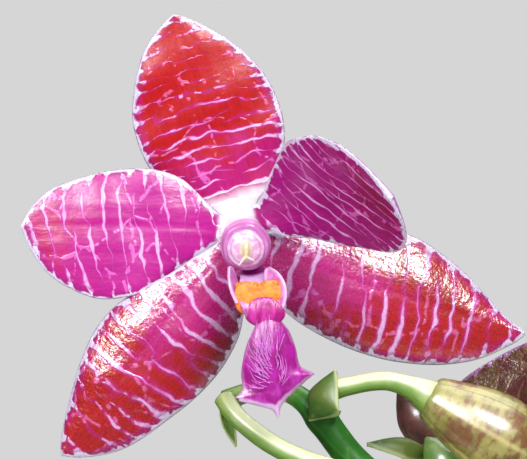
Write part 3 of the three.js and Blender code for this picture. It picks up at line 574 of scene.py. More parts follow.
def leaf_finish(name, age):
    """The skin of a leaf, whose age is 1 for the oldest and 0 for the youngest."""
    leaf = Finish(name, Roughness=0.34, Specular_IOR_Level=0.5, Coat_Weight=0.18, Coat_Roughness=0.22)
    _, x, y, edge = leaf.attribute("blade")
    _, t, _, face = leaf.attribute("span")
    flat = leaf.vector(x, y)
    slow = leaf.noise(flat, 26.0, 3.0, 0.6)
    veins = leaf.noise(leaf.scaled(flat, 1.0, 0.035, 1.0), 1.1, 2.0, 0.5)
    cross = leaf.noise(flat, 2.2, 3.0, 0.6)
    worn = (slow * 0.6 + cross * 0.4).rise(0.62 - 0.1 * age, 0.8) * age * 0.5
    top = leaf.coated(
        (58, 98, 34), (slow.rise(0.3, 0.7), 92, 132, 50), (veins.rise(0.45, 0.7) * 0.35, 46, 82, 28),
        (abs(x).rise(2.2, 0.3) * 0.5 * (1 - t), 124, 158, 72), (cross.rise(0.62, 0.75) * 0.25, 120, 150, 76),
        (t.rise(0.16, 0.02) * 0.6, 142, 150, 84), (worn, 150, 150, 66),
        (edge.rise(1.1, 0.1) * 0.6, 140, 150, 80),
    )
    under = leaf.coated((120, 148, 84), (slow.rise(0.3, 0.7), 142, 162, 100))
    leaf.feed("Base Color", leaf.blend(face.rise(0.2, -0.2), top, under))
    leaf.feed("Roughness", 0.3 + 0.14 * cross + 0.12 * age + 0.15 * worn)
    leaf.bump(veins * 0.10 + cross * 0.05 + leaf.noise(flat, 0.5, 2.0) * 0.02)
    return leaf


for order, (name, turn, breadth, route, roll) in enumerate(LEAVES):
    turn, roll = math.radians(turn), math.radians(roll)
    out = np.array([math.cos(turn), math.sin(turn), 0])
    beside = np.array([-math.sin(turn), math.cos(turn), 0])
    spine = [out * r + beside * 2.5 * math.sin(roll) * i * i + (0, 0, z) for i, (r, z) in enumerate(route)]
    face = [(*(beside * math.sin(roll) - out * lean)[:2], 1.0) for lean in (1.2, 0.3, 0)]
    w = breadth / 2
    half = [
        (0, 6), (0.08, 7), (0.2, 0.42 * w), (0.4, 0.78 * w), (0.62, w), (0.8, 0.88 * w), (0.92, 0.56 * w),
        (1, 1.2),
    ]
    shape = {
        "spine": spine,
        "facing": [(0, *face[0]), (0.4, *face[1]), (1, *face[2])],
        "plus": half,
        "minus": [(t, v * 0.96) for t, v in half],
        "plusCurl": [(0, 4.5), (0.2, 0.2 * w), (0.6, 0.16 * w), (0.9, 0.04 * w), (1, 0)],
        "minusCurl": [(0, 4.5), (0.2, 0.2 * w), (0.6, 0.13 * w), (0.9, 0.03 * w), (1, 0)],
        "roundness": 1.5,
        "wave": 1.2,
        "waves": 2.6,
        "taper": 0.5,
        "thickness": 2.4,
        "relief": leaf_relief,
    }
    leaf = blade(name + "_blade", shape, rows=100, columns=40, edge=0.12)
    finished(leaf, leaf_finish(name[:6], 1 - order / 5), "leaf", name)

# Roots
#
# Thick aerial roots under silvery velamen, with green growing tips. They leave the stem's foot, and either
# dive between the chips or lie over the collar, clinging to the clay.


def tube(name, points, radius, sides, steps, swell=None, dome=0.45):
    """A round stem along points in mm. swell(t, turn, mm) scales its radius, and dome rounds its end. Its
    points carry span = (share along, share round, mm along)."""
    path = Route(points)
    t = np.concatenate([[0, 0], np.linspace(0, 1, steps + 1), [1, 1]])
    tangent = path.along(t)
    side = np.array([1, 0.3, 0.1])
    turn = np.linspace(0, 2 * np.pi, sides, endpoint=False)
    centre = path.where(t)
    size = through(radius)(t)
    # Both ends close over a low dome.
    ends = np.ones(len(t))
    ends[[0, -1]] = 0.02
    ends[[1, -2]] = 0.72
    centre[0] -= tangent[0] * size[0] * 0.25
    centre[-1] += tangent[-1] * size[-1] * dome
    centre[-2] += tangent[-1] * size[-1] * dome * 0.67
    rings = []
    for i in range(len(t)):
        side = unit(side - tangent[i] * (side @ tangent[i]))
        other = np.cross(tangent[i], side)
        r = size[i] * ends[i] * (swell(t[i], turn, t[i] * path.length) if swell else np.ones(sides))
        rings.append(centre[i] + np.outer(r * np.cos(turn), side) + np.outer(r * np.sin(turn), other))
    points = np.concatenate(rings)
    share = np.repeat(t, sides)
    span = np.stack([share, np.tile(turn / (2 * np.pi), len(t)), share * path.length], axis=-1)
    caps = [list(range(sides)), list(range(len(points) - sides, len(points)))[::-1]]
    return shape_mesh(name, points, loft_faces(len(t), sides) + caps, [("span", span)])


# Each root's route, and its radius along it. A root that ends in a point is still growing.
ROOTS = {
    "root_over_rim_left": (
        [
            (-5.5, -2.6, 105), (-20, -11, 109), (-38, -21, 110), (-53, -30, 117), (-63, -35.5, 115.5),
            (-67, -38, 104), (-66, -37, 84), (-64, -32, 60),
        ],
        [(0, 2.8), (0.7, 2.6), (0.95, 2.1), (1, 1)],
    ),
    "root_over_rim_back": (
        [
            (2.4, 3.4, 104.5), (11, 21, 109), (21, 40, 110.5), (29, 55, 117), (34, 64.5, 114.5),
            (36.5, 68, 102), (36, 67, 80),
        ],
        [(0, 2.6), (0.8, 2.4), (0.95, 2), (1, 1)],
    ),
    "root_front": (
        [
            (1.9, -3.6, 103.5), (9, -19, 109), (18, -33, 108.5), (30, -40, 106), (39, -35, 100.5),
            (42, -27, 92),
        ],
        [(0, 2.7), (0.7, 2.5), (0.95, 1.8), (1, 0.9)],
    ),
    "root_right": (
        [(6, 1.4, 103.5), (20, 7, 108), (33, 13, 107), (42, 17, 101), (45.5, 19, 90)],
        [(0, 2.8), (0.7, 2.5), (1, 2)],
    ),
    "root_back_left": (
        [(-3.6, 3, 102.5), (-15, 16, 108), (-26, 27, 106), (-33, 33, 100), (-36, 36, 90)],
        [(0, 2.5), (0.7, 2.4), (1, 1.9)],
    ),
    "root_free_tip": (
        [(-1.8, -3.6, 111), (-8, -19, 118), (-11, -33, 116.5), (-20, -43, 113), (-27, -46, 111)],
        [(0, 2.4), (0.75, 2.2), (0.94, 1.9), (1, 0.8)],
    ),
}


def root_finish(name, growing):
    root = Finish(name, Roughness=0.7)
    t = root.attribute("span")[1]
    here = root.place()
    dust = root.noise(here, 5.0, 4.0, 0.65)
    fine = root.noise(here, 0.7, 3.0, 0.6)
    tip = (t + (dust - 0.5) * 0.05).rise(0.9, 0.96) * growing
    root.feed("Base Color", root.coated(
        (128, 140, 108), (dust.rise(0.36, 0.64), 190, 194, 178), (fine.rise(0.55, 0.8) * 0.4, 224, 224, 212),
        (dust.rise(0.66, 0.8) * 0.6, 140, 112, 74), (tip, 106, 146, 54),
    ))
    root.feed("Roughness", 0.72 - tip * 0.38)
    root.bump(fine * 0.14 + dust * 0.2)
    return root


def root_swell(name):
    """Slow swellings along a root and an uneven girth, drawn from its name."""
    draw = random.Random(name)
    a, b, c, d = [draw.uniform(0, 6.3) for _ in range(4)]

    def swell(t, turn, mm):
        slow = 0.06 * math.sin(mm * 0.21 + a) + 0.035 * math.sin(mm * 0.53 + b)
        return 1 + slow + 0.04 * np.cos(2 * turn + c) + 0.03 * np.cos(3 * turn + mm * 0.1 + d)

    return swell


for name, (route, radius) in ROOTS.items():
    growing = 1.0 if radius[-1][1] <= 1 else 0.0
    steps = int(Route(route).length * 1.4)
    root = tube(name + "_velamen", route, radius, sides=28, steps=steps, swell=root_swell(name))
    finished(root, root_finish(name, growing), "root", name)

# Flower stalk
#
# A smooth, glossy green axis that leaves the stem between the leaves and zigzags a little at its nodes.
# Each node is slightly swollen and carries a boat-shaped bract, which clasps the axis and is part of it.
# From here on, sizes are in mm from the open bloom's centre: x to the right, y away from the viewer, z up.

BLOOM = np.array([-30.0, -60.0, 295.0])
FROM_BLOOM = Matrix.Translation(Vector(BLOOM * 0.001))
STALK = [
    (30.6, 55.6, -179.5), (33.2, 45, -169), (38, 28, -146), (43, 12, -112), (42.5, 3, -78), (34, 0.6, -50),
    (21, 0.4, -34), (12.6, 0.2, -26.2), (8.2, 0.6, -20.6), (5.4, 2.8, -18.6), (2.6, 3.8, -18.3),
    (0.2, 3.7, -18.8), (-1.9, 2.7, -19.6),
]
STALK_RADII = [(0, 2.6), (0.4, 2.3), (0.72, 1.9), (0.87, 1.82), (0.925, 1.7), (0.955, 1.3), (1, 1.1)]
BRANCH = [
    (42.6, 2.6, -80), (41, 5.6, -72), (40.5, 7.5, -60), (36, 9, -46), (29, 8.2, -36), (22.8, 6.8, -30.2),
    (18.2, 5.8, -28.4),
]
BRANCH_RADII = [(0, 1.5), (0.5, 1.45), (0.85, 1.6), (0.95, 1.5), (1, 1.1)]
# How much a node swells the axis, as a share of its radius, and over how many mm.
NODE_RISE, NODE_SPREAD = 0.16, 1.3
# Each bract's spine, the way its hollow side looks, and its half width.
BRACTS = [
    ([(36.4, 33.5, -153.5), (39, 23.5, -146), (42.5, 18, -136.5)], (-0.3, 0.9, 0.5), 3.4),
    ([(43.3, 14.5, -117), (46.3, 9, -111), (47.5, 6.8, -102)], (-0.9, 0.6, 0.3), 3.1),
    ([(42.5, 3.5, -82), (40.3, -0.4, -76), (38, -2, -68)], (0.5, 0.9, 0.4), 2.9),
    ([(7.9, -1.3, -21.6), (8.1, -2.5, -18.7), (10.7, -1.5, -15.9)], (0.75, 0.55, -0.4), 3.1),
    ([(-2.2, 2.6, -19.6), (-1.8, 1.2, -22), (-0.8, 1.0, -24.8)], (0.15, -0.95, 0.2), 0.9),
    ([(22.0, 5.6, -26.0), (18.8, 4.4, -24.5), (14.4, 4.2, -24.8)], (-0.2, 0.5, -0.9), 1.9),
]


def joined(name, pieces):
    """Several pieces as one object."""
    with bpy.context.temp_override(active_object=pieces[0], selected_editable_objects=pieces):
        bpy.ops.object.join()
    pieces[0].name = name
    return pieces[0]


def node_swell(route, nodes):
    """Scales a stem's radius by a low ring where it passes each of these points."""
    path = Route(route)
    t = np.linspace(0, 1, 400)
    where = path.where(t)
    at = [t[np.linalg.norm(where - np.array(p), axis=1).argmin()] * path.length for p in nodes]

    def swell(t, turn, mm):
        ring = sum(NODE_RISE * math.exp(-(((mm - m) / NODE_SPREAD) ** 2)) for m in at)
        return (1 + ring) * (1 + 0.02 * np.cos(3 * turn + 1) + 0.012 * np.sin(mm * 0.9))

    return swell


bases = [spine[0] for spine, _, _ in BRACTS]
stalk_parts = [
    tube("axis", STALK, STALK_RADII, sides=40, steps=420, swell=node_swell(STALK, bases[:5])),
    tube("branch", BRANCH, BRANCH_RADII, sides=32, steps=150, swell=node_swell(BRANCH, bases[5:])),
]
for spine, face, wide in BRACTS:
    shares = [(0, 0.08), (0.08, 0.42), (0.2, 0.78), (0.42, 1), (0.72, 0.66)]
    half = [*((t, share * wide) for t, share in shares), (1, 0.12)]
    curl = [(0, 0.9 * wide), (0.5, 0.6 * wide), (1, 0)]
    shape = {
        "spine": spine, "facing": [(0, *face), (1, *face)], "plus": half, "minus": half,
        "plusCurl": curl, "minusCurl": curl, "thickness": 0.8, "taper": 0.55,
    }
    stalk_parts.append(blade("bract", shape, rows=44, columns=28, edge=0.2))
stalk = joined("stalk_and_bracts", stalk_parts)
stalk.matrix_world = FROM_BLOOM

axis = Finish("flower_stalk", Coat_Roughness=0.2)
_, _, y, edge = axis.attribute("blade")
along = axis.attribute("span")[1]
here = axis.place()
long = axis.noise(axis.scaled(here, 1.0, 1.0, 0.35), 1.1, 3.0)
soft = axis.noise(here, 7.0, 3.0)
is_bract = y.rise(0.0, 0.02)
skin = axis.coated(
    (24, 86, 16), (soft.rise(0.3, 0.7), 46, 118, 32), (long.rise(0.5, 0.8) * 0.4, 98, 150, 66),
    (along.rise(0.945, 0.97) * 0.8, 140, 172, 88),
)
bract = axis.coated(
    (112, 128, 52), (soft.rise(0.42, 0.6), 70, 116, 36), (y.rise(2.6, 0.4) * 0.7, 44, 98, 26),
    (y.rise(5.2, 6.6) * 0.6, 48, 96, 28), (axis.noise(here, 0.9, 3.0).rise(0.55, 0.75) * 0.5, 160, 150, 92),
    (edge.rise(0.35, 0.05) * 0.8, 196, 206, 150),
)
axis.feed("Base Color", axis.blend(is_bract, skin, bract))
axis.feed("Roughness", 0.3 + is_bract * 0.16)
axis.feed("Coat Weight", 0.3 - is_bract * 0.25)
axis.bump(long * 0.05 + axis.noise(here, 0.35, 2.0) * 0.02)
finished(stalk, axis, "stalk", "flower_stalk")

# Pedicels
#
# The stalklets of the blooms and buds: pale, waxy, with shallow grooves, greener at the axis and where the
# flower joins. The side facing up and forward is painted almost cream, as painted light. Each grows out of
# its node, so it has no seam there.

PEDICELS = {
    "pedicel_main": (
        [
            (3.5, 4.6, -17), (3, 7.2, -15), (2.9, 9.4, -11.5), (2.2, 10.3, -7.4), (1, 9.7, -3),
            (0.2, 7.3, 0), (0, 4.7, 0.4),
        ],
        [(0, 0.95), (0.2, 1.15), (0.75, 1.15), (1, 1.35)],
    ),
    "pedicel_large_bud": (
        [(9, -1.2, -18.5), (11.8, -1.8, -17.7), (16.1, -2.2, -17), (19, -2.2, -17.7), (21.5, -2.2, -18.95)],
        [(0, 1.3), (0.25, 1.05), (0.65, 1.1), (0.82, 1.4), (1, 2.1)],
    ),
    "pedicel_low_bud": (
        [
            (-2.1, 1.7, -19.3), (-1.2, 0.3, -20.7), (0.4, -0.9, -22.2), (3.4, -1.9, -24.3), (7, -2.5, -26),
            (11.6, -3.1, -27.5), (15, -3.8, -29.4),
        ],
        [(0, 1.2), (0.2, 1.15), (1, 1.2)],
    ),
    "pedicel_second": (
        [
            (37.6, 10.6, -47), (40, 9, -40), (40.6, 5.5, -30), (40.3, 3.4, -20), (41.3, 4.4, -13),
            (43.8, 7.2, -11), (46, 9.7, -12.3), (47.75, 11.46, -13.7),
        ],
        [(0, 1), (0.6, 1.15), (1, 1.2)],
    ),
    "pedicel_brown_bud": (
        [(30.3, 9.8, -34.6), (28.6, 11.6, -31), (26, 12, -28)],
        [(0, 0.8), (1, 0.95)],
    ),
    "pedicel_green_bud": (
        [(24.4, 5.6, -33.4), (26.4, 3.4, -33.6), (27.4, 2.6, -32.2)],
        [(0, 0.8), (1, 0.9)],
    ),
}


def pedicel_finish():
    skin = Finish("pedicel", Coat_Weight=0.5, Coat_Roughness=0.24)
    _, t, turn, mm = skin.attribute("span")
    here = skin.place()
    slow = skin.noise(here, 3.0, 3.0)
    long = skin.noise(skin.vector(turn * 14.0, mm * 0.12), 1.0, 2.0)
    ends = t.rise(0.16, 0.0).most(t.rise(0.9, 1.0))
    normal = skin.node("ShaderNodeTexCoord", {}, {}, "Normal")
    _, depth, height = skin.parts(normal)
    # Painted light: the side that faces up and towards the front is painted pale cream, in place of the
    # highlight on it.
    painted_light_side = (height * 0.75 - depth * 0.6 + (slow - 0.5) * 0.4).rise(0.3, 0.95)
    skin.feed("Base Color", skin.coated(
        (104, 144, 54), (painted_light_side, 228, 240, 188), (ends * 0.6, 134, 158, 60),
        (long.rise(0.52, 0.72) * 0.3, 150, 172, 84),
    ))
    skin.feed("Roughness", 0.28 + slow * 0.1)
    skin.bump(long * 0.05 + skin.noise(here, 0.4, 2.0) * 0.02)
    return skin


def grooves(t, turn, mm):
    return 1 + 0.025 * np.cos(6 * turn) + 0.05 * math.exp(-mm / 0.7) + 0.012 * math.sin(mm * 1.1)


pale_green = pedicel_finish()
for name, (route, radius) in PEDICELS.items():
    steps = max(40, int(Route(route).length * 5))
    pedicel = tube(name + "_skin", route, radius, sides=36, steps=steps, swell=grooves)
    pedicel.matrix_world = FROM_BLOOM
    finished(pedicel, pale_green, "pedicel", name)

# Buds
#
# Closed sepals that meet edge to edge in three seams, each with a rounded keel down its middle. They are
# blunt where they join the pedicel. The large ones are olive, mottled with the colour of the bloom inside.

# Each bud's base, the way it points, its length, its greatest radius, and its kind.
BUDS = {
    "bud_large": ((21.1, -2.2, -18.7), (0.865, -0.03, -0.5), 16.5, 4.8, "bud_olive"),
    "bud_low": ((15.25, -4, -29.65), (0.68, -0.25, -0.69), 13, 3.9, "bud_olive"),
    "bud_brown": ((25.4, 12.0, -27.9), (-0.6, 0.02, 0.8), 11.5, 2.9, "bud_brown"),
    "bud_green": ((27.1, 2.7, -31.2), (-0.62, 0.13, 0.77), 9.4, 2.7, "bud_green"),
}
BUD_OUTLINE = [
    (0, 0.36), (0.02, 0.5), (0.06, 0.58), (0.16, 0.7), (0.3, 0.86), (0.45, 0.97), (0.57, 1), (0.7, 0.9),
    (0.84, 0.58), (0.95, 0.24), (1, 0.06),
]


def bud_shape(name, base, axis, length, outline, keels, keel, sides, steps, seam=0, flat=(1, 1, 1)):
    """A round body on a straight axis, with so many keels as high as keel, parted by clefts as deep as seam,
    and scaled about its base by flat. Its points carry span = (share along, turns from a keel, radius)."""
    t = 0.5 - 0.5 * np.cos(np.pi * np.linspace(0, 1, steps + 1))
    along = unit(np.array(axis, float))
    side = unit(np.array([0, -1.0, 0]) + along * along[1])
    other = np.cross(along, side)
    turn = np.linspace(0, 2 * np.pi, sides, endpoint=False)
    size = np.maximum(through(outline)(t), 0.0)
    size[[0, -1]] = 0.01
    swing = np.cos(keels * turn)
    cleft = np.exp(-(((1 + swing) / 0.02) ** 2)) if keels else 0 * turn
    bulk = 1 + keel * swing - seam * cleft
    r = size[:, None] * bulk
    ring = np.array(base)[None, None] + along * (t * length)[:, None, None]
    points = ring + side * (r * np.cos(turn))[..., None] + other * (r * np.sin(turn))[..., None]
    points = np.array(base) + (points - np.array(base)) * flat
    part = np.abs((turn / (2 * np.pi) * max(keels, 1) + 0.5) % 1 - 0.5)
    span = np.stack([np.repeat(t[:, None], sides, 1), np.repeat(part[None], len(t), 0), r], axis=-1)
    faces = loft_faces(len(t), sides)
    return shape_mesh(name, points.reshape(-1, 3), faces, [("span", span.reshape(-1, 3))], merge=0.03)


def bud_finish(kind):
    bud = Finish(kind, Coat_Weight=1.0, Coat_Roughness=0.36, Coat_IOR=1.9)
    _, t, seam, out = bud.attribute("span")
    rows = bud.noise(bud.vector(t * 26.0, seam * 5.0, out * 0.2), 1.0, 3.0, 0.6)
    here = bud.place()
    streak = bud.noise(here, 1.5, 4.0, 0.6, 0.6)
    patch = bud.noise(here, 3.4, 3.0, 0.6)
    fine = bud.noise(here, 0.5, 3.0, 0.6)
    if kind == "bud_olive":
        bars = (rows * 0.5 + patch * 0.5 - abs(seam - 0.2) * 0.12).rise(0.45, 0.57)
        skin = bud.coated(
            (178, 168, 92), (patch.rise(0.36, 0.62), 138, 132, 54), (bars * 0.8, 128, 62, 40),
            (fine.rise(0.5, 0.7) * 0.4 * bars, 96, 46, 34), (rows.rise(0.6, 0.75) * 0.35, 186, 120, 92),
            (seam.rise(0.05, 0.0) * 0.5, 226, 206, 150),
        )
    elif kind == "bud_brown":
        skin = bud.coated(
            (92, 38, 40), (patch.rise(0.3, 0.7), 134, 68, 62), (streak.rise(0.5, 0.62) * 0.6, 66, 26, 28),
            (rows.rise(0.55, 0.7) * 0.5, 168, 110, 100),
        )
    else:
        skin = bud.coated(
            (92, 140, 56), (patch.rise(0.3, 0.7), 158, 186, 100),
            (streak.rise(0.56, 0.7) * 0.4, 196, 210, 140),
        )
    bud.feed("Base Color", bud.coated(skin, (t.rise(0.1, 0.0) * 0.6, 112, 140, 60)))
    bud.feed("Roughness", 0.24 + fine * 0.12)
    bud.bump(fine * 0.05 + bud.noise(here, 1.1, 2.0) * 0.1)
    return bud


bud_finishes = {kind: bud_finish(kind) for kind in ("bud_olive", "bud_brown", "bud_green")}
for name, (base, direction, length, girth, kind) in BUDS.items():
    outline = [(t, r * girth) for t, r in BUD_OUTLINE]
    bud = bud_shape(
        name + "_sepals", base, direction, length, outline,
        keels=3, keel=0.045, seam=0.05, sides=96, steps=72,
    )
    bud.matrix_world = FROM_BLOOM
    finished(bud, bud_finishes[kind], kind, name)

# Sepals and petals
#
# Three sepals and two petals, waxy and about a millimetre thick, grown from the column's foot. Crimson
# cells on a magenta ground are parted by a net of pale transverse lines, and the margin is nearly white.

# Each tepal's spine from the column out, the way its inner face looks along it, the half widths of its two
# sides, and how far each side curls.
TEPALS = {
    "dorsal_sepal": {
        "spine": [(-0.75, 2.6, 2.6), (-3.2, 2.1, 10.2), (-5.9, 1.4, 18.4), (-8.1, 1.6, 25.1)],
        "facing": [(0, 0, -1, 0), (1, 0.05, -1, 0.1)],
        "plus": [
            (0, 2.4), (0.1, 5.6), (0.22, 7.5), (0.33, 8.3), (0.45, 8.5), (0.58, 8), (0.7, 6.8), (0.8, 5.3),
            (0.9, 3.2), (1, 0.5),
        ],
        "minus": [
            (0, 2.2), (0.1, 5), (0.22, 7.2), (0.33, 8.2), (0.45, 8.5), (0.58, 8.2), (0.7, 7.1), (0.8, 5.8),
            (0.9, 3.9), (1, 0.5),
        ],
        "plusCurl": [(0, 0), (0.4, -0.7), (0.8, -0.5), (1, 0)],
        "minusCurl": [(0, 0), (0.4, -0.8), (0.8, -0.6), (1, 0)],
    },
    "petal_left": {
        "spine": [(-2.6, 1.5, 0.3), (-9, 0.5, 0.6), (-17, -0.1, 0.8), (-25.6, 0.8, 0.7)],
        "facing": [(0, 0, -1, 0), (0.5, 0, -1, 0.12), (1, -0.05, -1, 0.1)],
        "plus": [
            (0, 1.6), (0.1, 3.6), (0.2, 5.6), (0.33, 6.6), (0.5, 6.6), (0.62, 6.1), (0.75, 5.2),
            (0.86, 4.1), (0.94, 2.4), (1, 0.4),
        ],
        "minus": [
            (0, 1.5), (0.1, 3.2), (0.22, 5.2), (0.35, 7.4), (0.5, 8.4), (0.62, 8.4), (0.75, 7.3),
            (0.86, 5.6), (0.94, 3.2), (1, 0.4),
        ],
        "plusCurl": [(0, 0), (0.4, -0.4), (0.8, -0.3), (1, 0)],
        "minusCurl": [(0, 0), (0.3, 0.1), (0.6, -0.3), (1, 0)],
    },
    "petal_right": {
        "spine": [
            (2.5, -0.3, 1.6), (6.9, -3.2, 2.3), (11.6, -7.8, 2.8), (14.7, -12.6, 3.3), (16.3, -17, 3.7),
        ],
        "facing": [(0, -0.25, -0.9, -0.2), (0.4, -0.62, -0.6, -0.6), (1, -0.68, -0.5, -0.62)],
        "plus": [
            (0, 1.6), (0.1, 2.6), (0.25, 3.6), (0.42, 5.2), (0.6, 6.4), (0.75, 6.3), (0.88, 4.9),
            (0.95, 3), (1, 0.5),
        ],
        "minus": [
            (0, 2), (0.1, 4.9), (0.22, 7.5), (0.35, 9), (0.5, 9.5), (0.65, 9), (0.78, 7.6),
            (0.89, 5.3), (0.95, 3.2), (1, 0.5),
        ],
        "plusCurl": [(0, 0), (0.5, 0.2), (0.85, 0.3), (1, 0)],
        "minusCurl": [(0, 0), (0.5, -0.6), (0.85, -0.5), (1, 0)],
        "wave": 0.25,
    },
    "lateral_sepal_left": {
        "spine": [(-2, 0.3, -2.2), (-8.2, -1.9, -9.4), (-14.5, -2, -17.5), (-20.8, 0.2, -25.7)],
        "facing": [(0, 0, -1, 0), (0.5, 0, -1, 0), (1, -0.1, -1, 0.1)],
        "plus": [
            (0, 1.4), (0.1, 2.3), (0.2, 3.1), (0.32, 4.6), (0.42, 5.6), (0.54, 5.8), (0.66, 5.1),
            (0.77, 4), (0.86, 2.9), (0.94, 1.6), (1, 0.4),
        ],
        "minus": [
            (0, 3.6), (0.1, 5.8), (0.2, 7.6), (0.32, 8.4), (0.42, 8.5), (0.54, 8), (0.66, 7), (0.77, 6),
            (0.86, 4.7), (0.94, 2.6), (1, 0.4),
        ],
        "plusCurl": [(0, 0), (0.2, -0.5), (0.45, -1.9), (0.8, -1.1), (1, 0)],
        "minusCurl": [(0, 0.4), (0.15, -1.5), (0.4, -3), (0.7, -2), (1, 0)],
    },
    "lateral_sepal_right": {
        "spine": [(2.5, 1.3, -1.4), (10.5, 0.9, -4.9), (20.5, 0.2, -8), (32.6, 1.8, -11.9)],
        "facing": [(0, 0, -1, 0), (0.5, 0, -1, 0), (1, 0.1, -1, 0.1)],
        "plus": [
            (0, 3.2), (0.08, 4.9), (0.18, 6.3), (0.3, 7.2), (0.42, 7.7), (0.56, 7.6), (0.7, 6.7), (0.8, 5.5),
            (0.88, 4), (0.95, 2), (1, 0.4),
        ],
        "minus": [
            (0, 1.4), (0.1, 3.4), (0.25, 5.6), (0.4, 6.9), (0.52, 6.9), (0.64, 5.9), (0.75, 4.5),
            (0.85, 2.7), (0.93, 1.2), (1, 0.4),
        ],
        "plusCurl": [(0, 0), (0.15, -0.5), (0.5, -1.6), (0.8, -1.1), (1, 0)],
        "minusCurl": [(0, 0), (0.2, -1), (0.5, -2.2), (0.8, -1.4), (1, 0)],
    },
}

# Where each tepal joins the base of the column.
SOCKETS = {
    "dorsal_sepal": (-0.4, 2.7, 0.4),
    "petal_left": (-0.7, 2.0, 0.3),
    "petal_right": (0.8, 1.6, 0.9),
    "lateral_sepal_left": (-0.6, 1.6, -0.7),
    "lateral_sepal_right": (0.6, 2.0, -0.6),
}

# How each tepal is marked. Its ground colour turns to the tip's colour over the crimson stretch, sooner at
# the sides by flank, and shade lies in its grain. Pale lines cross it: their gap in mm, slant in degrees,
# arch, width as a share of the gap (line), where they break into dashes (broken), and the part of the
# pattern they take (start). Its foot is bleached as far as white. One side near the column is painted
# darker, as painted shade, and the sign of that entry says which side. Frost is the height of its fine bumps
# in mm, and shine its specular level.
MARKS = {
    "dorsal_sepal": {
        "ground": (182, 4, 116), "tip": (184, 0, 6), "shade": (122, 0, 16), "crimson": (0.18, 0.46),
        "gap": 1.5, "slant": 0, "arch": 0.01, "line": 0.075, "broken": 0.42, "start": 0,
        "white": 0.19, "dusk": 0.0, "frost": 0.015, "shine": 0.3, "flank": 0.1,
    },
    "petal_left": {
        "ground": (184, 4, 140), "tip": (184, 0, 34), "shade": (124, 0, 84), "crimson": (0.55, 1.2),
        "gap": 1.9, "slant": 5, "arch": 0.01, "line": 0.08, "broken": 1.4, "start": 40,
        "white": 0.11, "dusk": 0.0, "frost": 0.02, "shine": 0.3, "flank": -0.08,
    },
    # The right petal's colours are darker than the left petal's: painted shade, because this petal faces
    # away from the light.
    "petal_right": {
        "ground": (168, 2, 124), "tip": (136, 0, 30), "shade": (104, 0, 66), "crimson": (0.45, 1.1),
        "gap": 1.6, "slant": 45, "arch": 0.0, "line": 0.07, "broken": 1.4, "start": 80,
        "white": 0.09, "dusk": 0.0, "frost": 0.015, "shine": 0.3, "flank": -0.08,
    },
    "lateral_sepal_left": {
        "ground": (190, 4, 120), "tip": (180, 0, 8), "shade": (118, 0, 20), "crimson": (0.3, 0.55),
        "gap": 2.1, "slant": -5, "arch": 0.015, "line": 0.1, "broken": 0.6, "start": 120,
        "white": 0.06, "dusk": -1.0, "frost": 0.11, "shine": 1.0, "flank": 0.4,
    },
    "lateral_sepal_right": {
        "ground": (194, 4, 122), "tip": (182, 0, 6), "shade": (120, 0, 16), "crimson": (0.26, 0.5),
        "gap": 2.2, "slant": 8, "arch": 0.015, "line": 0.1, "broken": 0.75, "start": 160,
        "white": 0.06, "dusk": 0.8, "frost": 0.11, "shine": 1.0, "flank": 0.45,
    },
}

# How many pale lines each patch of the pattern holds.
GABOR_WAVES = 2.6


def rooted(spec, start):
    """The same shape with its spine begun further in, at start, under the column."""
    reach = float(np.linalg.norm(np.array(start) - np.array(spec["spine"][0])))
    length = Route(spec["spine"]).length
    moved = dict(spec, spine=[start, *spec["spine"]])
    for key in ("plus", "minus", "plusCurl", "minusCurl", "facing"):
        later = [((t * length + reach) / (length + reach), *v) for t, *v in spec[key]]
        moved[key] = [(0.0, *spec[key][0][1:]), *later]
    return moved


def tepal_relief(t, s, x, y):
    """A shallow midrib groove, low lengthwise veins and slow dents."""
    groove = -0.16 * np.exp(-((x / 0.55) ** 2)) * np.sin(np.pi * np.clip(t, 0, 1)) ** 0.5
    veins = 0.035 * np.cos(x * 2.7 + 0.5 * np.sin(y * 0.3)) * (1 - np.abs(s))
    dents = 0.14 * np.sin(0.55 * y + 1.7 * s) * s + 0.1 * np.sin(0.9 * y - 2.2 * s + 1)
    return groove + veins + dents * np.sin(np.pi * t) ** 0.7


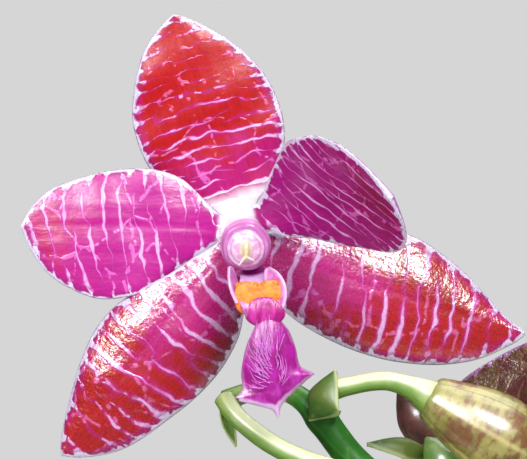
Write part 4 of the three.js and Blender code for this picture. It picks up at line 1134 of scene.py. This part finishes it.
def tepal_finish(name, seed):
    """A tepal's skin. The seed shifts its pattern, so that the second bloom differs from the first."""
    marks = MARKS[name]
    skin = Finish("%s_%d" % (name, seed), IOR=1.7, Specular_IOR_Level=marks["shine"])
    _, x, y, edge = skin.attribute("blade")
    _, t, s, face = skin.attribute("span")
    flat = skin.shifted(skin.vector(x, y), (seed * 37.0, seed * 17.0, 0.0))
    drift = skin.noise(flat, 5.5, 2.0, 0.5) - 0.5
    drift_x = skin.noise(skin.shifted(flat, (71.0, 5.0, 0.0)), 4.0, 1.0) - 0.5
    small = skin.noise(skin.shifted(flat, (31.0, 55.0, 0.0)), 1.6, 0.5) - 0.5
    patch = skin.noise(skin.shifted(flat, (9.0, 2.0, 0.0)), 2.6, 2.0)
    beads = skin.noise(skin.shifted(flat, (13.0, 29.0, 0.0)), 0.9, 1.0)
    grain = skin.noise(skin.scaled(flat, 1.0, 0.16, 1.0), 0.35, 2.0, 0.6)
    fine = skin.noise(flat, 0.32, 2.0, 0.6)

    wide = x + drift_x * 2.0 + small * 0.8
    tall = y + drift * 1.6 + small * 0.8 + x * x * marks["arch"]
    bent = skin.shifted(skin.vector(wide, tall), (seed * 31.0 + marks["start"], seed * 53.0, 0.0))
    waves = {"Vector": bent, "Scale": 1 / (marks["gap"] * GABOR_WAVES), "Frequency": GABOR_WAVES}
    waves["Anisotropy"] = 1.0
    waves[4] = math.radians(90 + marks["slant"])
    gabor = skin.node("ShaderNodeTexGabor", {"gabor_type": "2D"}, waves, "Phase")
    clear = Signal(skin, gabor.socket.node.outputs["Intensity"]).rise(0.05, 0.45)
    off = abs(gabor - 0.5)
    reach = marks["line"] * (0.1 + 0.9 * patch + 0.9 * beads) * t.spread(0.0, 0.8, 1.35, 0.75) * clear
    reach = reach + edge.rise(1.9, 0.2) * 0.15 * beads.rise(0.4, 0.6) + 0.004
    stripe = off.rise(reach * 1.8, reach * 0.6)
    links = skin.cells(skin.scaled(bent, 0.8, 1.0, 1.0), marks["gap"] * 3.0, "DISTANCE_TO_EDGE")
    link = links.rise(0.05 * beads, 0.02 * beads) * beads.rise(0.42, 0.55)
    line = stripe.most(link * 0.8)
    dashed = t + (patch - 0.5) * 0.9 - edge.rise(1.9, 0.5) * 0.3
    dashed = dashed.rise(marks["broken"], marks["broken"] + 0.16)
    dashes = skin.noise(skin.shifted(flat, (3.0, 77.0, 0.0)), 1.25, 1.0).rise(0.5, 0.57)
    line = line * (1 - dashed * (1 - dashes))

    flank = (abs(s) - 0.4) * marks["flank"]
    crimson = (t + drift * 0.55 + (patch - 0.5) * 0.5 + flank).rise(*marks["crimson"])
    core = off.rise(0.05, 0.3) * edge.rise(0.4, 1.6)
    crimson = crimson * (0.3 + 0.7 * core.most(dashed))
    ground = skin.coated(
        marks["ground"], (crimson, *marks["tip"]), (grain.rise(0.35, 0.75) * 0.35, *marks["shade"]),
        (patch.rise(0.5, 0.75) * 0.35 * (1 - crimson), 204, 30, 160),
        (off.rise(reach * 2.8, reach) * 0.5, 176, 14, 124),
    )
    pale = skin.coated(
        (216, 104, 196), (crimson * 0.55, 224, 92, 122),
        (stripe.rise(0.6, 1.0) * reach.rise(0.03, 0.09), 226, 176, 226),
    )

    scallop = skin.cells(skin.shifted(flat, (5.0, 8.0, 0.0)), 0.62, "SMOOTH_F1") - 0.5
    ragged = edge + (patch - 0.5) * 0.9 + scallop * 0.5 + small * 0.35 - stripe * 0.4
    rim = ragged.rise(0.4, 0.18)
    # Painted shade: one side of the tepal near the column is darkened, where the lip and column shade it.
    dusk = (s * marks["dusk"]).rise(0.25, 1.0) * t.rise(0.0, 0.1) * t.rise(0.62, 0.3)
    bleached = (t + (patch - 0.5) * 0.06 - stripe * 0.03).rise(marks["white"], marks["white"] * 0.6)
    inner = skin.coated(
        skin.blend(line * 0.94, ground, pale), (ragged.rise(0.95, 0.3) * 0.55, 136, 18, 104),
        (dusk * (1 - rim) * 0.7, 92, 0, 14), (rim, 212, 196, 226), (bleached, 244, 232, 246),
    )
    # The back is painted dark brown as painted shade. Its violet rim is the pale margin with a painted
    # highlight on it.
    outer = skin.coated(
        (104, 74, 40), (patch.rise(0.35, 0.6), 96, 34, 34), (line * 0.3, 176, 140, 100), (rim, 166, 110, 170)
    )
    skin.feed("Base Color", skin.blend(face.rise(0.3, -0.3), inner, outer))

    frost = skin.noise(skin.shifted(flat, (2.0, 6.0, 0.0)), 0.7, 2.0, 0.6)
    matt = (s * marks["dusk"] + drift * 0.5).rise(-0.25, 0.25) * abs(marks["dusk"])
    skin.feed("Roughness", 0.31 - marks["shine"] * 0.1 + fine * 0.12)
    skin.bump((fine * 0.4 + frost) * (1 - matt * 0.85) * marks["frost"] + grain * 0.02)
    skin.bump(line * 0.03 + (patch + beads * 0.3) * (1 - matt * 0.6) * (marks["frost"] + 0.04))
    return skin


# The second bloom stands behind the first one's right and looks away. Its aim is where the dorsal sepal
# points, which leans to the left of upright in the first bloom.
SECOND_SCALE = 0.93
SECOND_PLACE = (50.3, 14, -16.2)
LEAN_COS, LEAN_SIN = 0.953, 0.303
facing = unit(np.array([0.62, 0.6, -0.5]))
aim = np.array([-0.746, 0.65, -0.144])
aim = unit(aim - facing * (aim @ facing))
beside = np.cross(facing, aim)
columns = [LEAN_COS * aim + LEAN_SIN * beside, -facing, LEAN_COS * beside - LEAN_SIN * aim]
FROM_SECOND = Matrix.Translation(Vector((BLOOM + SECOND_PLACE) * 0.001))
FROM_SECOND = FROM_SECOND @ Matrix((np.stack(columns, axis=1) * SECOND_SCALE).tolist()).to_4x4()
PLACES = (("", FROM_BLOOM), ("_second", FROM_SECOND))

for order, (suffix, place) in enumerate(PLACES):
    for name, spec in TEPALS.items():
        shape = {"thickness": 1.0, "taper": 0.5, "relief": tepal_relief, **rooted(spec, SOCKETS[name])}
        tepal = blade(name + suffix + "_skin", shape, rows=88, columns=56, edge=0.16)
        tepal.matrix_world = place
        finished(tepal, tepal_finish(name, order), "tepal", name + suffix)

# Column
#
# The fused stamens and style: a short fleshy column with a purple rim, in whose end sits the pale anther cap
# with its yellow-green middle and two-toothed beak. Its foot carries the lip.

CAP_OUTLINE = [(0, 2.3), (0.3, 2.28), (0.5, 2.05), (0.75, 1.45), (0.92, 0.75), (1, 0.1)]
RIDGE_OUTLINE = [(0, 0.2), (0.3, 0.44), (0.7, 0.36), (1, 0.15)]
BEAK = (0.35, -8.15, -2.75)
TEETH = (((-0.62, -0.15, -0.8), 1.3, 0.15), ((0.85, -0.1, -0.42), 1.15, 0.14))


def column_pieces():
    body = tube(
        "column_body",
        [(0, 4.3, 0.4), (0, 1.5, 0.3), (0.1, -2, -0.4), (0.3, -5, -1.2), (0.35, -7.2, -1.7)],
        [
            (0, 1.5), (0.1, 2.15), (0.4, 2.1), (0.8, 2.72), (0.9, 2.82), (0.955, 2.78), (0.98, 2.68),
            (0.992, 2.55), (1, 2.36),
        ],
        sides=72, steps=110, dome=-0.25,
        swell=lambda t, turn, mm: 1 + 0.015 * np.cos(5 * turn) * t + 0.008 * np.sin(mm * 9),
    )
    foot = tube(
        "column_foot",
        [(0, 1.2, -0.9), (0.35, -0.6, -2.5), (0.75, -2.3, -3.6)],
        [(0, 0.9), (0.6, 0.95), (1, 0.8)],
        sides=32, steps=24,
    )
    return joined("column_flesh", [body, foot])


def column_finish():
    flesh = Finish("column_flesh", Roughness=0.3, Coat_Weight=0.15, Coat_Roughness=0.2)
    _, t, _, mm = flesh.attribute("span")
    here = flesh.place()
    slow = flesh.noise(here, 1.2, 3.0)
    fine = flesh.noise(here, 0.3, 2.0)
    bands = (mm * 5.2 + slow * 3.0).sine()
    flesh.feed("Base Color", flesh.coated(
        (204, 118, 190), (bands.rise(-0.6, 0.8), 226, 168, 218),
        (t.rise(0.93, 0.945) * t.rise(0.965, 0.95) * 0.7, 182, 70, 162),
        (t.rise(0.975, 0.985) * t.rise(0.995, 0.99) * 0.7, 176, 76, 158),
        (fine.rise(0.55, 0.75) * 0.3, 190, 84, 174),
        ((t + slow * 0.1).rise(0.86, 0.72) * 0.92, 240, 224, 240),
    ))
    flesh.bump(fine * 0.03 + slow * 0.08)
    return flesh


def cap_pieces():
    cap = bud_shape(
        "cap", (0.35, -6.7, -1.8), (0.02, -1, -0.1), 1.35, CAP_OUTLINE,
        keels=2, keel=0.03, seam=0.02, sides=72, steps=36,
    )
    ridge = bud_shape(
        "ridge", (0.45, -7.75, -0.9), (-0.02, -0.16, -1), 2.3, RIDGE_OUTLINE,
        keels=2, keel=0.1, sides=32, steps=24,
    )
    teeth = []
    for axis, length, middle in TEETH:
        outline = [(0, 0.26), (0.5, middle), (1, 0.03)]
        teeth.append(bud_shape("tooth", BEAK, axis, length, outline, keels=2, keel=0.1, sides=20, steps=12))
    return joined("anther_cap", [cap, ridge, *teeth])


def cap_finish():
    cap = Finish("anther_cap", Roughness=0.28, Coat_Weight=0.25, Coat_Roughness=0.15)
    out = cap.attribute("span")[3]
    slow = cap.noise(cap.place(), 0.7, 3.0)
    middle = (out + (slow - 0.5) * 0.7).rise(1.15, 0.3)
    cap.feed("Base Color", cap.coated(
        (236, 204, 230), (slow.rise(0.4, 0.6), 222, 160, 210), (middle * 0.9, 220, 208, 150),
        (out.rise(0.3, 0.1) * 0.8, 240, 226, 222),
        (out.rise(1.5, 1.62) * out.rise(1.84, 1.7) * 0.55, 190, 96, 176),
        (out.rise(2.0, 2.12) * out.rise(2.4, 2.25) * 0.7, 176, 72, 160),
    ))
    cap.bump(slow * 0.1)
    return cap


def in_bloom(piece, finish, part, suffix, place):
    """Puts a piece of a column or lip in the first or the second bloom, and names it for that bloom."""
    piece.name = piece.name.split(".")[0] + suffix
    piece.matrix_world = place
    finished(piece, finish, part, part + suffix)


column_skin, cap_skin = column_finish(), cap_finish()
for suffix, place in PLACES:
    in_bloom(column_pieces(), column_skin, "column", suffix, place)
    in_bloom(cap_pieces(), cap_skin, "column", suffix, place)

# Lip
#
# The lip hangs from the column's foot: a clawed plate that narrows to a waist and spreads into a spade with
# toothed corners, two upright side lobes, an orange callus, a ridged dome, and bristles on the mid lobe.

LIP_PLATE = {
    "spine": [
        (0.8, -2.6, -4.1), (1.5, -5.4, -5.3), (2.1, -8, -7.6), (2.9, -8.9, -9.9), (3.3, -9.6, -13.7),
        (3.7, -9.6, -17.5), (4.0, -9.1, -20.7),
    ],
    "facing": [(0, 0, -0.4, 0.9), (0.25, 0, -0.8, 0.6), (0.5, 0.05, -1, 0.1), (1, 0.05, -1, -0.05)],
    "plus": [
        (0, 0.9), (0.14, 1.7), (0.3, 2.4), (0.4, 2.3), (0.455, 1.5), (0.5, 1.85), (0.57, 2.6), (0.66, 3.25),
        (0.74, 3.6), (0.81, 3.6), (0.845, 3.75), (0.864, 4.2), (0.889, 3.9), (0.91, 2.9), (0.93, 1.8),
        (0.95, 0.75), (0.97, 0.4), (1, 0.18),
    ],
    "minus": [
        (0, 0.9), (0.14, 1.7), (0.3, 2.4), (0.39, 2.2), (0.434, 1.25), (0.48, 1.6), (0.52, 2.15),
        (0.615, 2.75), (0.69, 2.9), (0.73, 3.1), (0.754, 3.55), (0.778, 4.3), (0.8, 3.9), (0.84, 2.8),
        (0.88, 1.75), (0.92, 0.85), (0.945, 0.4), (0.97, 0.28), (1, 0.15),
    ],
    "plusCurl": [(0, 0.4), (0.3, 0.5), (0.5, -0.3), (0.75, -0.9), (1, 0)],
    "minusCurl": [(0, 0.4), (0.3, 0.5), (0.5, -0.3), (0.75, -0.9), (1, 0)],
    "thickness": 0.9,
}
SIDE_LOBES = [
    {
        "spine": [(-0.3, -7.6, -8), (-1.1, -7.3, -6), (-1.5, -6.6, -3.9)],
        "facing": [(0, 1, -0.3, 0), (1, 1, -0.5, 0)],
        "plus": [(0, 1.3), (0.4, 1.5), (0.8, 1), (1, 0.3)],
        "minus": [(0, 1.3), (0.4, 1.4), (0.8, 0.9), (1, 0.3)],
    },
    {
        "spine": [(3.6, -7.9, -9.0), (3.9, -7.8, -6.4), (2.9, -7.0, -4)],
        "facing": [(0, -0.9, -0.8, 0), (1, -0.6, -1, 0)],
        "plus": [(0, 1.3), (0.4, 1.5), (0.8, 1), (1, 0.3)],
        "minus": [(0, 1.3), (0.4, 1.5), (0.8, 1), (1, 0.3)],
    },
]
CRESTS = (
    ("crest_left", (0.55, -8.15, -5.75), (0.02, -0.3, -1), 3.5, (1.0, 0.32, 1)),
    ("crest_right", (2.95, -8.15, -5.65), (0.16, -0.3, -1), 2.7, (1.1, 0.32, 1)),
)
CREST_OUTLINE = [(0, 0.9), (0.08, 1.2), (0.35, 1.38), (0.75, 1.32), (0.92, 1.0), (1, 0.5)]
NUBS = 11
NUB_OUTLINE = [(0, 0.26), (0.5, 0.19), (1, 0.05)]
DOME_OUTLINE = [(0, 0.6), (0.12, 1.1), (0.4, 1.6), (0.6, 1.72), (0.75, 1.55), (0.9, 1.1), (1, 0.5)]
DOME_FLATNESS = (1.3, 0.3, 1)

# The teeth of the lip's margin: their side, where they begin and end along it, how many, and how long.
TEETH_ROWS = (
    (1, 0.83, 0.9, 6, (0.1, 0.36)), (-1, 0.745, 0.8, 5, (0.1, 0.36)), (1, 0.9, 0.94, 3, (0.05, 0.14)),
    (-1, 0.82, 0.93, 4, (0.05, 0.14)),
)
TOOTH_WIDTH = 0.008

BRISTLES = 86
HAIR_RINGS, HAIR_SIDES = 9, 5
HAIR_RADIUS = 0.05
HAIRY_FROM, HAIRY_SPAN = 0.56, 0.27


def lip_relief(t, s, x, y):
    """A raised ridge down the middle, a dip beside it, and waves at the free margin."""
    ridge = 0.3 * np.exp(-((x / 0.7) ** 2)) * np.clip((t - 0.42) * 5, 0, 1) * np.clip((1 - t) * 3, 0, 1)
    ruffle = 0.16 * np.abs(s) ** 3 * np.sin(9 * t * np.pi + 2 * s) * np.clip((t - 0.6) * 5, 0, 1)
    return ridge + ruffle


def lip_teeth(t, s):
    """Uneven teeth on the corners of the mid lobe."""
    draw = random.Random(5)
    teeth = np.zeros((len(t), len(s)))
    for sign, begin, end, count, sizes in TEETH_ROWS:
        for k in range(count):
            at = begin + (end - begin) * (k + draw.uniform(0.2, 0.8)) / count
            bump = draw.uniform(*sizes) * np.clip(1 - np.abs(t - at) / TOOTH_WIDTH, 0, 1)
            teeth += bump[:, None] * np.clip(s * sign, 0, 1) ** 6
    return teeth


def lip_finish():
    flesh = Finish("lip_flesh", Roughness=0.32, Coat_Weight=0.12, Coat_Roughness=0.25)
    _, x, y, edge = flesh.attribute("blade")
    t = flesh.attribute("span")[1]
    flat = flesh.vector(x, y)
    slow = flesh.noise(flat, 1.6, 3.0)
    long = flesh.noise(flesh.scaled(flat, 1.0, 0.2, 1.0), 0.5, 3.0)
    fine = flesh.noise(flat, 0.25, 2.0)
    low = t.rise(0.72, 0.95)
    rim = (edge + (slow - 0.5) * 0.8 - low * 0.5).rise(0.36, 0.0)
    strap = t.rise(0.13, 0.16) * t.rise(0.27, 0.23)
    flesh.feed("Base Color", flesh.coated(
        (150, 4, 122), (slow.rise(0.35, 0.65), 172, 20, 154), (long.rise(0.5, 0.75) * 0.5, 196, 60, 184),
        (low * slow.rise(0.4, 0.7) * 0.5, 196, 96, 200), (rim * (0.25 + low * 0.6), 224, 186, 230),
        (strap * 0.8, 206, 176, 220),
    ))
    flesh.bump(long * 0.08 + fine * 0.03)
    return flesh


def lobe_finish():
    lobe = Finish("side_lobes", Roughness=0.34)
    _, x, y, edge = lobe.attribute("blade")
    slow = lobe.noise(lobe.vector(x, y), 0.9, 3.0)
    lobe.feed("Base Color", lobe.coated(
        (206, 92, 186), (slow.rise(0.35, 0.65), 226, 150, 214), (edge.rise(0.5, 0.1) * 0.8, 232, 190, 232)
    ))
    lobe.bump(slow * 0.1)
    return lobe


def callus_finish():
    callus = Finish("callus", Roughness=0.55)
    here = callus.place()
    slow = callus.noise(here, 0.9, 3.0)
    fine = callus.noise(here, 0.25, 3.0)
    callus.feed("Base Color", callus.coated(
        (240, 124, 4), (slow.rise(0.4, 0.6), 250, 146, 12), (fine.rise(0.64, 0.74) * 0.7, 196, 60, 60)
    ))
    callus.bump(slow * 0.2 + fine * 0.06)
    return callus


def dome_finish():
    dome = Finish("lip_dome", Roughness=0.35)
    long = dome.noise(dome.scaled(dome.place(), 1.0, 1.0, 0.25), 0.45, 3.0)
    dome.feed("Base Color", dome.coated((166, 8, 118), (long.rise(0.38, 0.62), 204, 48, 162)))
    dome.bump(long * 0.16)
    return dome


def hair_finish():
    hair = Finish("bristles", Roughness=0.4)
    hair.feed("Base Color", hair.coated((232, 150, 232), (hair.noise(hair.place(), 0.8), 218, 116, 218)))
    return hair


def bristles(plate):
    """Fine tapering hairs on the mid lobe. They sweep up and outwards, and most stand left of its middle."""
    draw = random.Random(3)
    path = Route(plate["spine"])
    widths = {1: through(plate["plus"]), -1: through(plate["minus"])}
    facing = through(plate["facing"])
    points, faces = [], []
    for _ in range(BRISTLES):
        t = draw.uniform(HAIRY_FROM, HAIRY_FROM + HAIRY_SPAN)
        left = draw.random() < 0.78
        s = draw.uniform(-0.05, 0.5) if left else draw.uniform(-0.3, 0.0)
        tangent = path.along(t)[0]
        normal = facing(t)[0]
        normal = unit(normal - tangent * (normal @ tangent))
        side = np.cross(tangent, normal)
        x = s * widths[1 if s > 0 else -1](t)[0]
        start = path.where(t)[0] + side * x + normal * 0.42
        low = (t - HAIRY_FROM) / HAIRY_SPAN
        angle = (0.15 + 1.15 * low if left else -0.35 - 0.3 * low) + draw.gauss(0, 0.14)
        reach = (draw.uniform(1.5, 3.0) if left else draw.uniform(1.0, 2.2)) * (1 - 0.25 * low)
        lean = side * math.sin(angle) - tangent * math.cos(angle)
        cross = side * math.cos(angle) + tangent * math.sin(angle)
        curl = draw.gauss(-0.28 if left else 0.32, 0.22)
        curve = [start]
        for step in (0.33, 0.67, 1.0):
            sway = curl * step * step + draw.uniform(-0.05, 0.05)
            lift = 0.3 * math.sin(math.pi * min(step, 0.9))
            curve.append(start + (lean * step + cross * sway) * reach + normal * lift)
        route = Route(curve)
        steps = np.linspace(0, 1, HAIR_RINGS)
        first = len(points)
        for step, p, d in zip(steps, route.where(steps), route.along(steps)):
            one = unit(np.cross(d, side + 0.01))
            two = np.cross(d, one)
            r = HAIR_RADIUS * (1 - 0.7 * step)
            for a in range(HAIR_SIDES):
                spin = 2 * math.pi * a / HAIR_SIDES
                points.append(p + r * (math.cos(spin) * one + math.sin(spin) * two))
        faces += [[first + v for v in face] for face in loft_faces(HAIR_RINGS, HAIR_SIDES)]
        faces.append(list(range(len(points) - HAIR_SIDES, len(points)))[::-1])
    return shape_mesh("bristles", points, faces)


def side_lobes():
    curl = [(0, 0), (1, 0.3)]
    shapes = [{**lobe, "plusCurl": curl, "minusCurl": curl, "thickness": 0.6} for lobe in SIDE_LOBES]
    lobes = [blade("lobe", shape, rows=32, columns=24, edge=0.25) for shape in shapes]
    return joined("side_lobes", lobes)


def callus():
    """Two ribbed crests side by side, with a row of nubs across their top."""
    lobes = [
        bud_shape(name, base, axis, length, CREST_OUTLINE, keels=5, keel=0.05, sides=60, steps=40, flat=flat)
        for name, base, axis, length, flat in CRESTS
    ]
    draw = random.Random(8)
    for k in range(NUBS):
        base = (-0.55 + 0.45 * k + draw.uniform(-0.08, 0.08), -8.2, -6.0)
        lean = (draw.uniform(-0.3, 0.3), -0.7, 1)
        length = draw.uniform(0.45, 0.75)
        nub = bud_shape("nub", base, lean, length, NUB_OUTLINE, keels=2, keel=0.1, sides=16, steps=10)
        lobes.append(nub)
    return joined("callus", lobes)


def lip_dome():
    base, axis = (2.25, -8.8, -7.35), (0.12, -0.22, -0.95)
    return bud_shape(
        "dome", base, axis, 3.3, DOME_OUTLINE, keels=11, keel=0.015, sides=99, steps=40, flat=DOME_FLATNESS
    )


lip_skins = lip_finish(), lobe_finish(), callus_finish(), dome_finish(), hair_finish()
plate = {**LIP_PLATE, "relief": lip_relief, "teeth": lip_teeth, "taper": 0.4}
for suffix, place in PLACES:
    pieces = [blade("lip_flesh", plate, rows=190, columns=48, edge=0.2), side_lobes(), callus(), lip_dome()]
    for piece, skin in zip([*pieces, bristles(LIP_PLATE)], lip_skins):
        in_bloom(piece, skin, "lip", suffix, place)

# Studio
#
# A plain pale floor and even pale surroundings. Two soft keys light the bloom from the upper left and right,
# each with a lamp at its place that only adds glare. A fill in front and a lamp above light the rest. Fill
# and floor are kept out of the reflections. The camera looks level at the open bloom, like the photograph's.

FLOOR_RADIUS, FLOOR_SIDES = 2600, 96
SEEN_STRENGTH, SOFT_STRENGTH, MIRRORED_STRENGTH = 0.78, 0.38, 0.07
KEYS = (("left", (-0.33, -0.50, 0.60), 2.3), ("right", (0.13, -0.46, 0.67), 2.5))
KEY_SIZE, GLARE_SIZE, GLARE_POWER = 0.22, 0.2, 3.2
FOCAL_LENGTH = 178.2
VIEWPOINT = (0.00236, -0.300, 0.00029)

turn = np.linspace(0, 2 * np.pi, FLOOR_SIDES, endpoint=False)
rim_points = np.stack([FLOOR_RADIUS * np.cos(turn), FLOOR_RADIUS * np.sin(turn), 0 * turn], axis=-1)
floor = shape_mesh("floor", rim_points, [list(range(FLOOR_SIDES))])
paper = Finish("studio_floor", Roughness=0.8)
paper.shader.inputs["Base Color"].default_value = (0.78, 0.78, 0.77, 1)
floor.data.materials.append(paper.material)
floor.visible_glossy = False

world = bpy.data.worlds.new("studio")
world.use_nodes = True
nodes, links = world.node_tree.nodes, world.node_tree.links
backdrop = nodes["Background"]
backdrop.inputs["Color"].default_value = (0.86, 0.86, 0.86, 1)
rays = nodes.new("ShaderNodeLightPath")
dim = nodes.new("ShaderNodeMapRange")
dim.inputs["To Min"].default_value = SOFT_STRENGTH
dim.inputs["To Max"].default_value = MIRRORED_STRENGTH
links.new(rays.outputs["Is Glossy Ray"], dim.inputs["Value"])
level = nodes.new("ShaderNodeMapRange")
level.inputs["To Max"].default_value = SEEN_STRENGTH
links.new(rays.outputs["Is Camera Ray"], level.inputs["Value"])
links.new(dim.outputs["Result"], level.inputs["To Min"])
links.new(level.outputs["Result"], backdrop.inputs["Strength"])
bpy.context.scene.world = world
bpy.context.scene.view_settings.view_transform = "Standard"


def soft_light(name, position, target, size, power):
    lamp = bpy.data.lights.new(name, "AREA")
    lamp.shape = "DISK"
    lamp.size = size
    lamp.energy = power
    holder = bpy.data.objects.new(name, lamp)
    holder.location = position
    holder.rotation_euler = (Vector(target) - Vector(position)).to_track_quat("-Z", "Y").to_euler()
    bpy.context.scene.collection.objects.link(holder)
    return holder


bloom_centre = Vector(BLOOM * 0.001)
for side, place, power in KEYS:
    soft_light("key_" + side, place, bloom_centre, KEY_SIZE, power)
for side, place, _ in KEYS:
    glare = soft_light("glare_" + side, place, bloom_centre, GLARE_SIZE, GLARE_POWER)
    glare.visible_diffuse = False
fill = soft_light("fill", (0.25, -0.9, 0.25), (0, 0, 0.2), size=0.8, power=0.9)
fill.visible_glossy = False
soft_light("top", (0.3, 0.3, 1.3), (0, 0, 0.15), size=0.9, power=5.0)

lens = bpy.data.cameras.new("camera")
lens.sensor_width = 36.0
lens.lens = FOCAL_LENGTH
lens.clip_start = 0.01
camera = bpy.data.objects.new("camera", lens)
camera.location = bloom_centre + Vector(VIEWPOINT)
camera.rotation_euler = (math.radians(90), 0, 0)
bpy.context.scene.collection.objects.link(camera)
bpy.context.scene.camera = camera
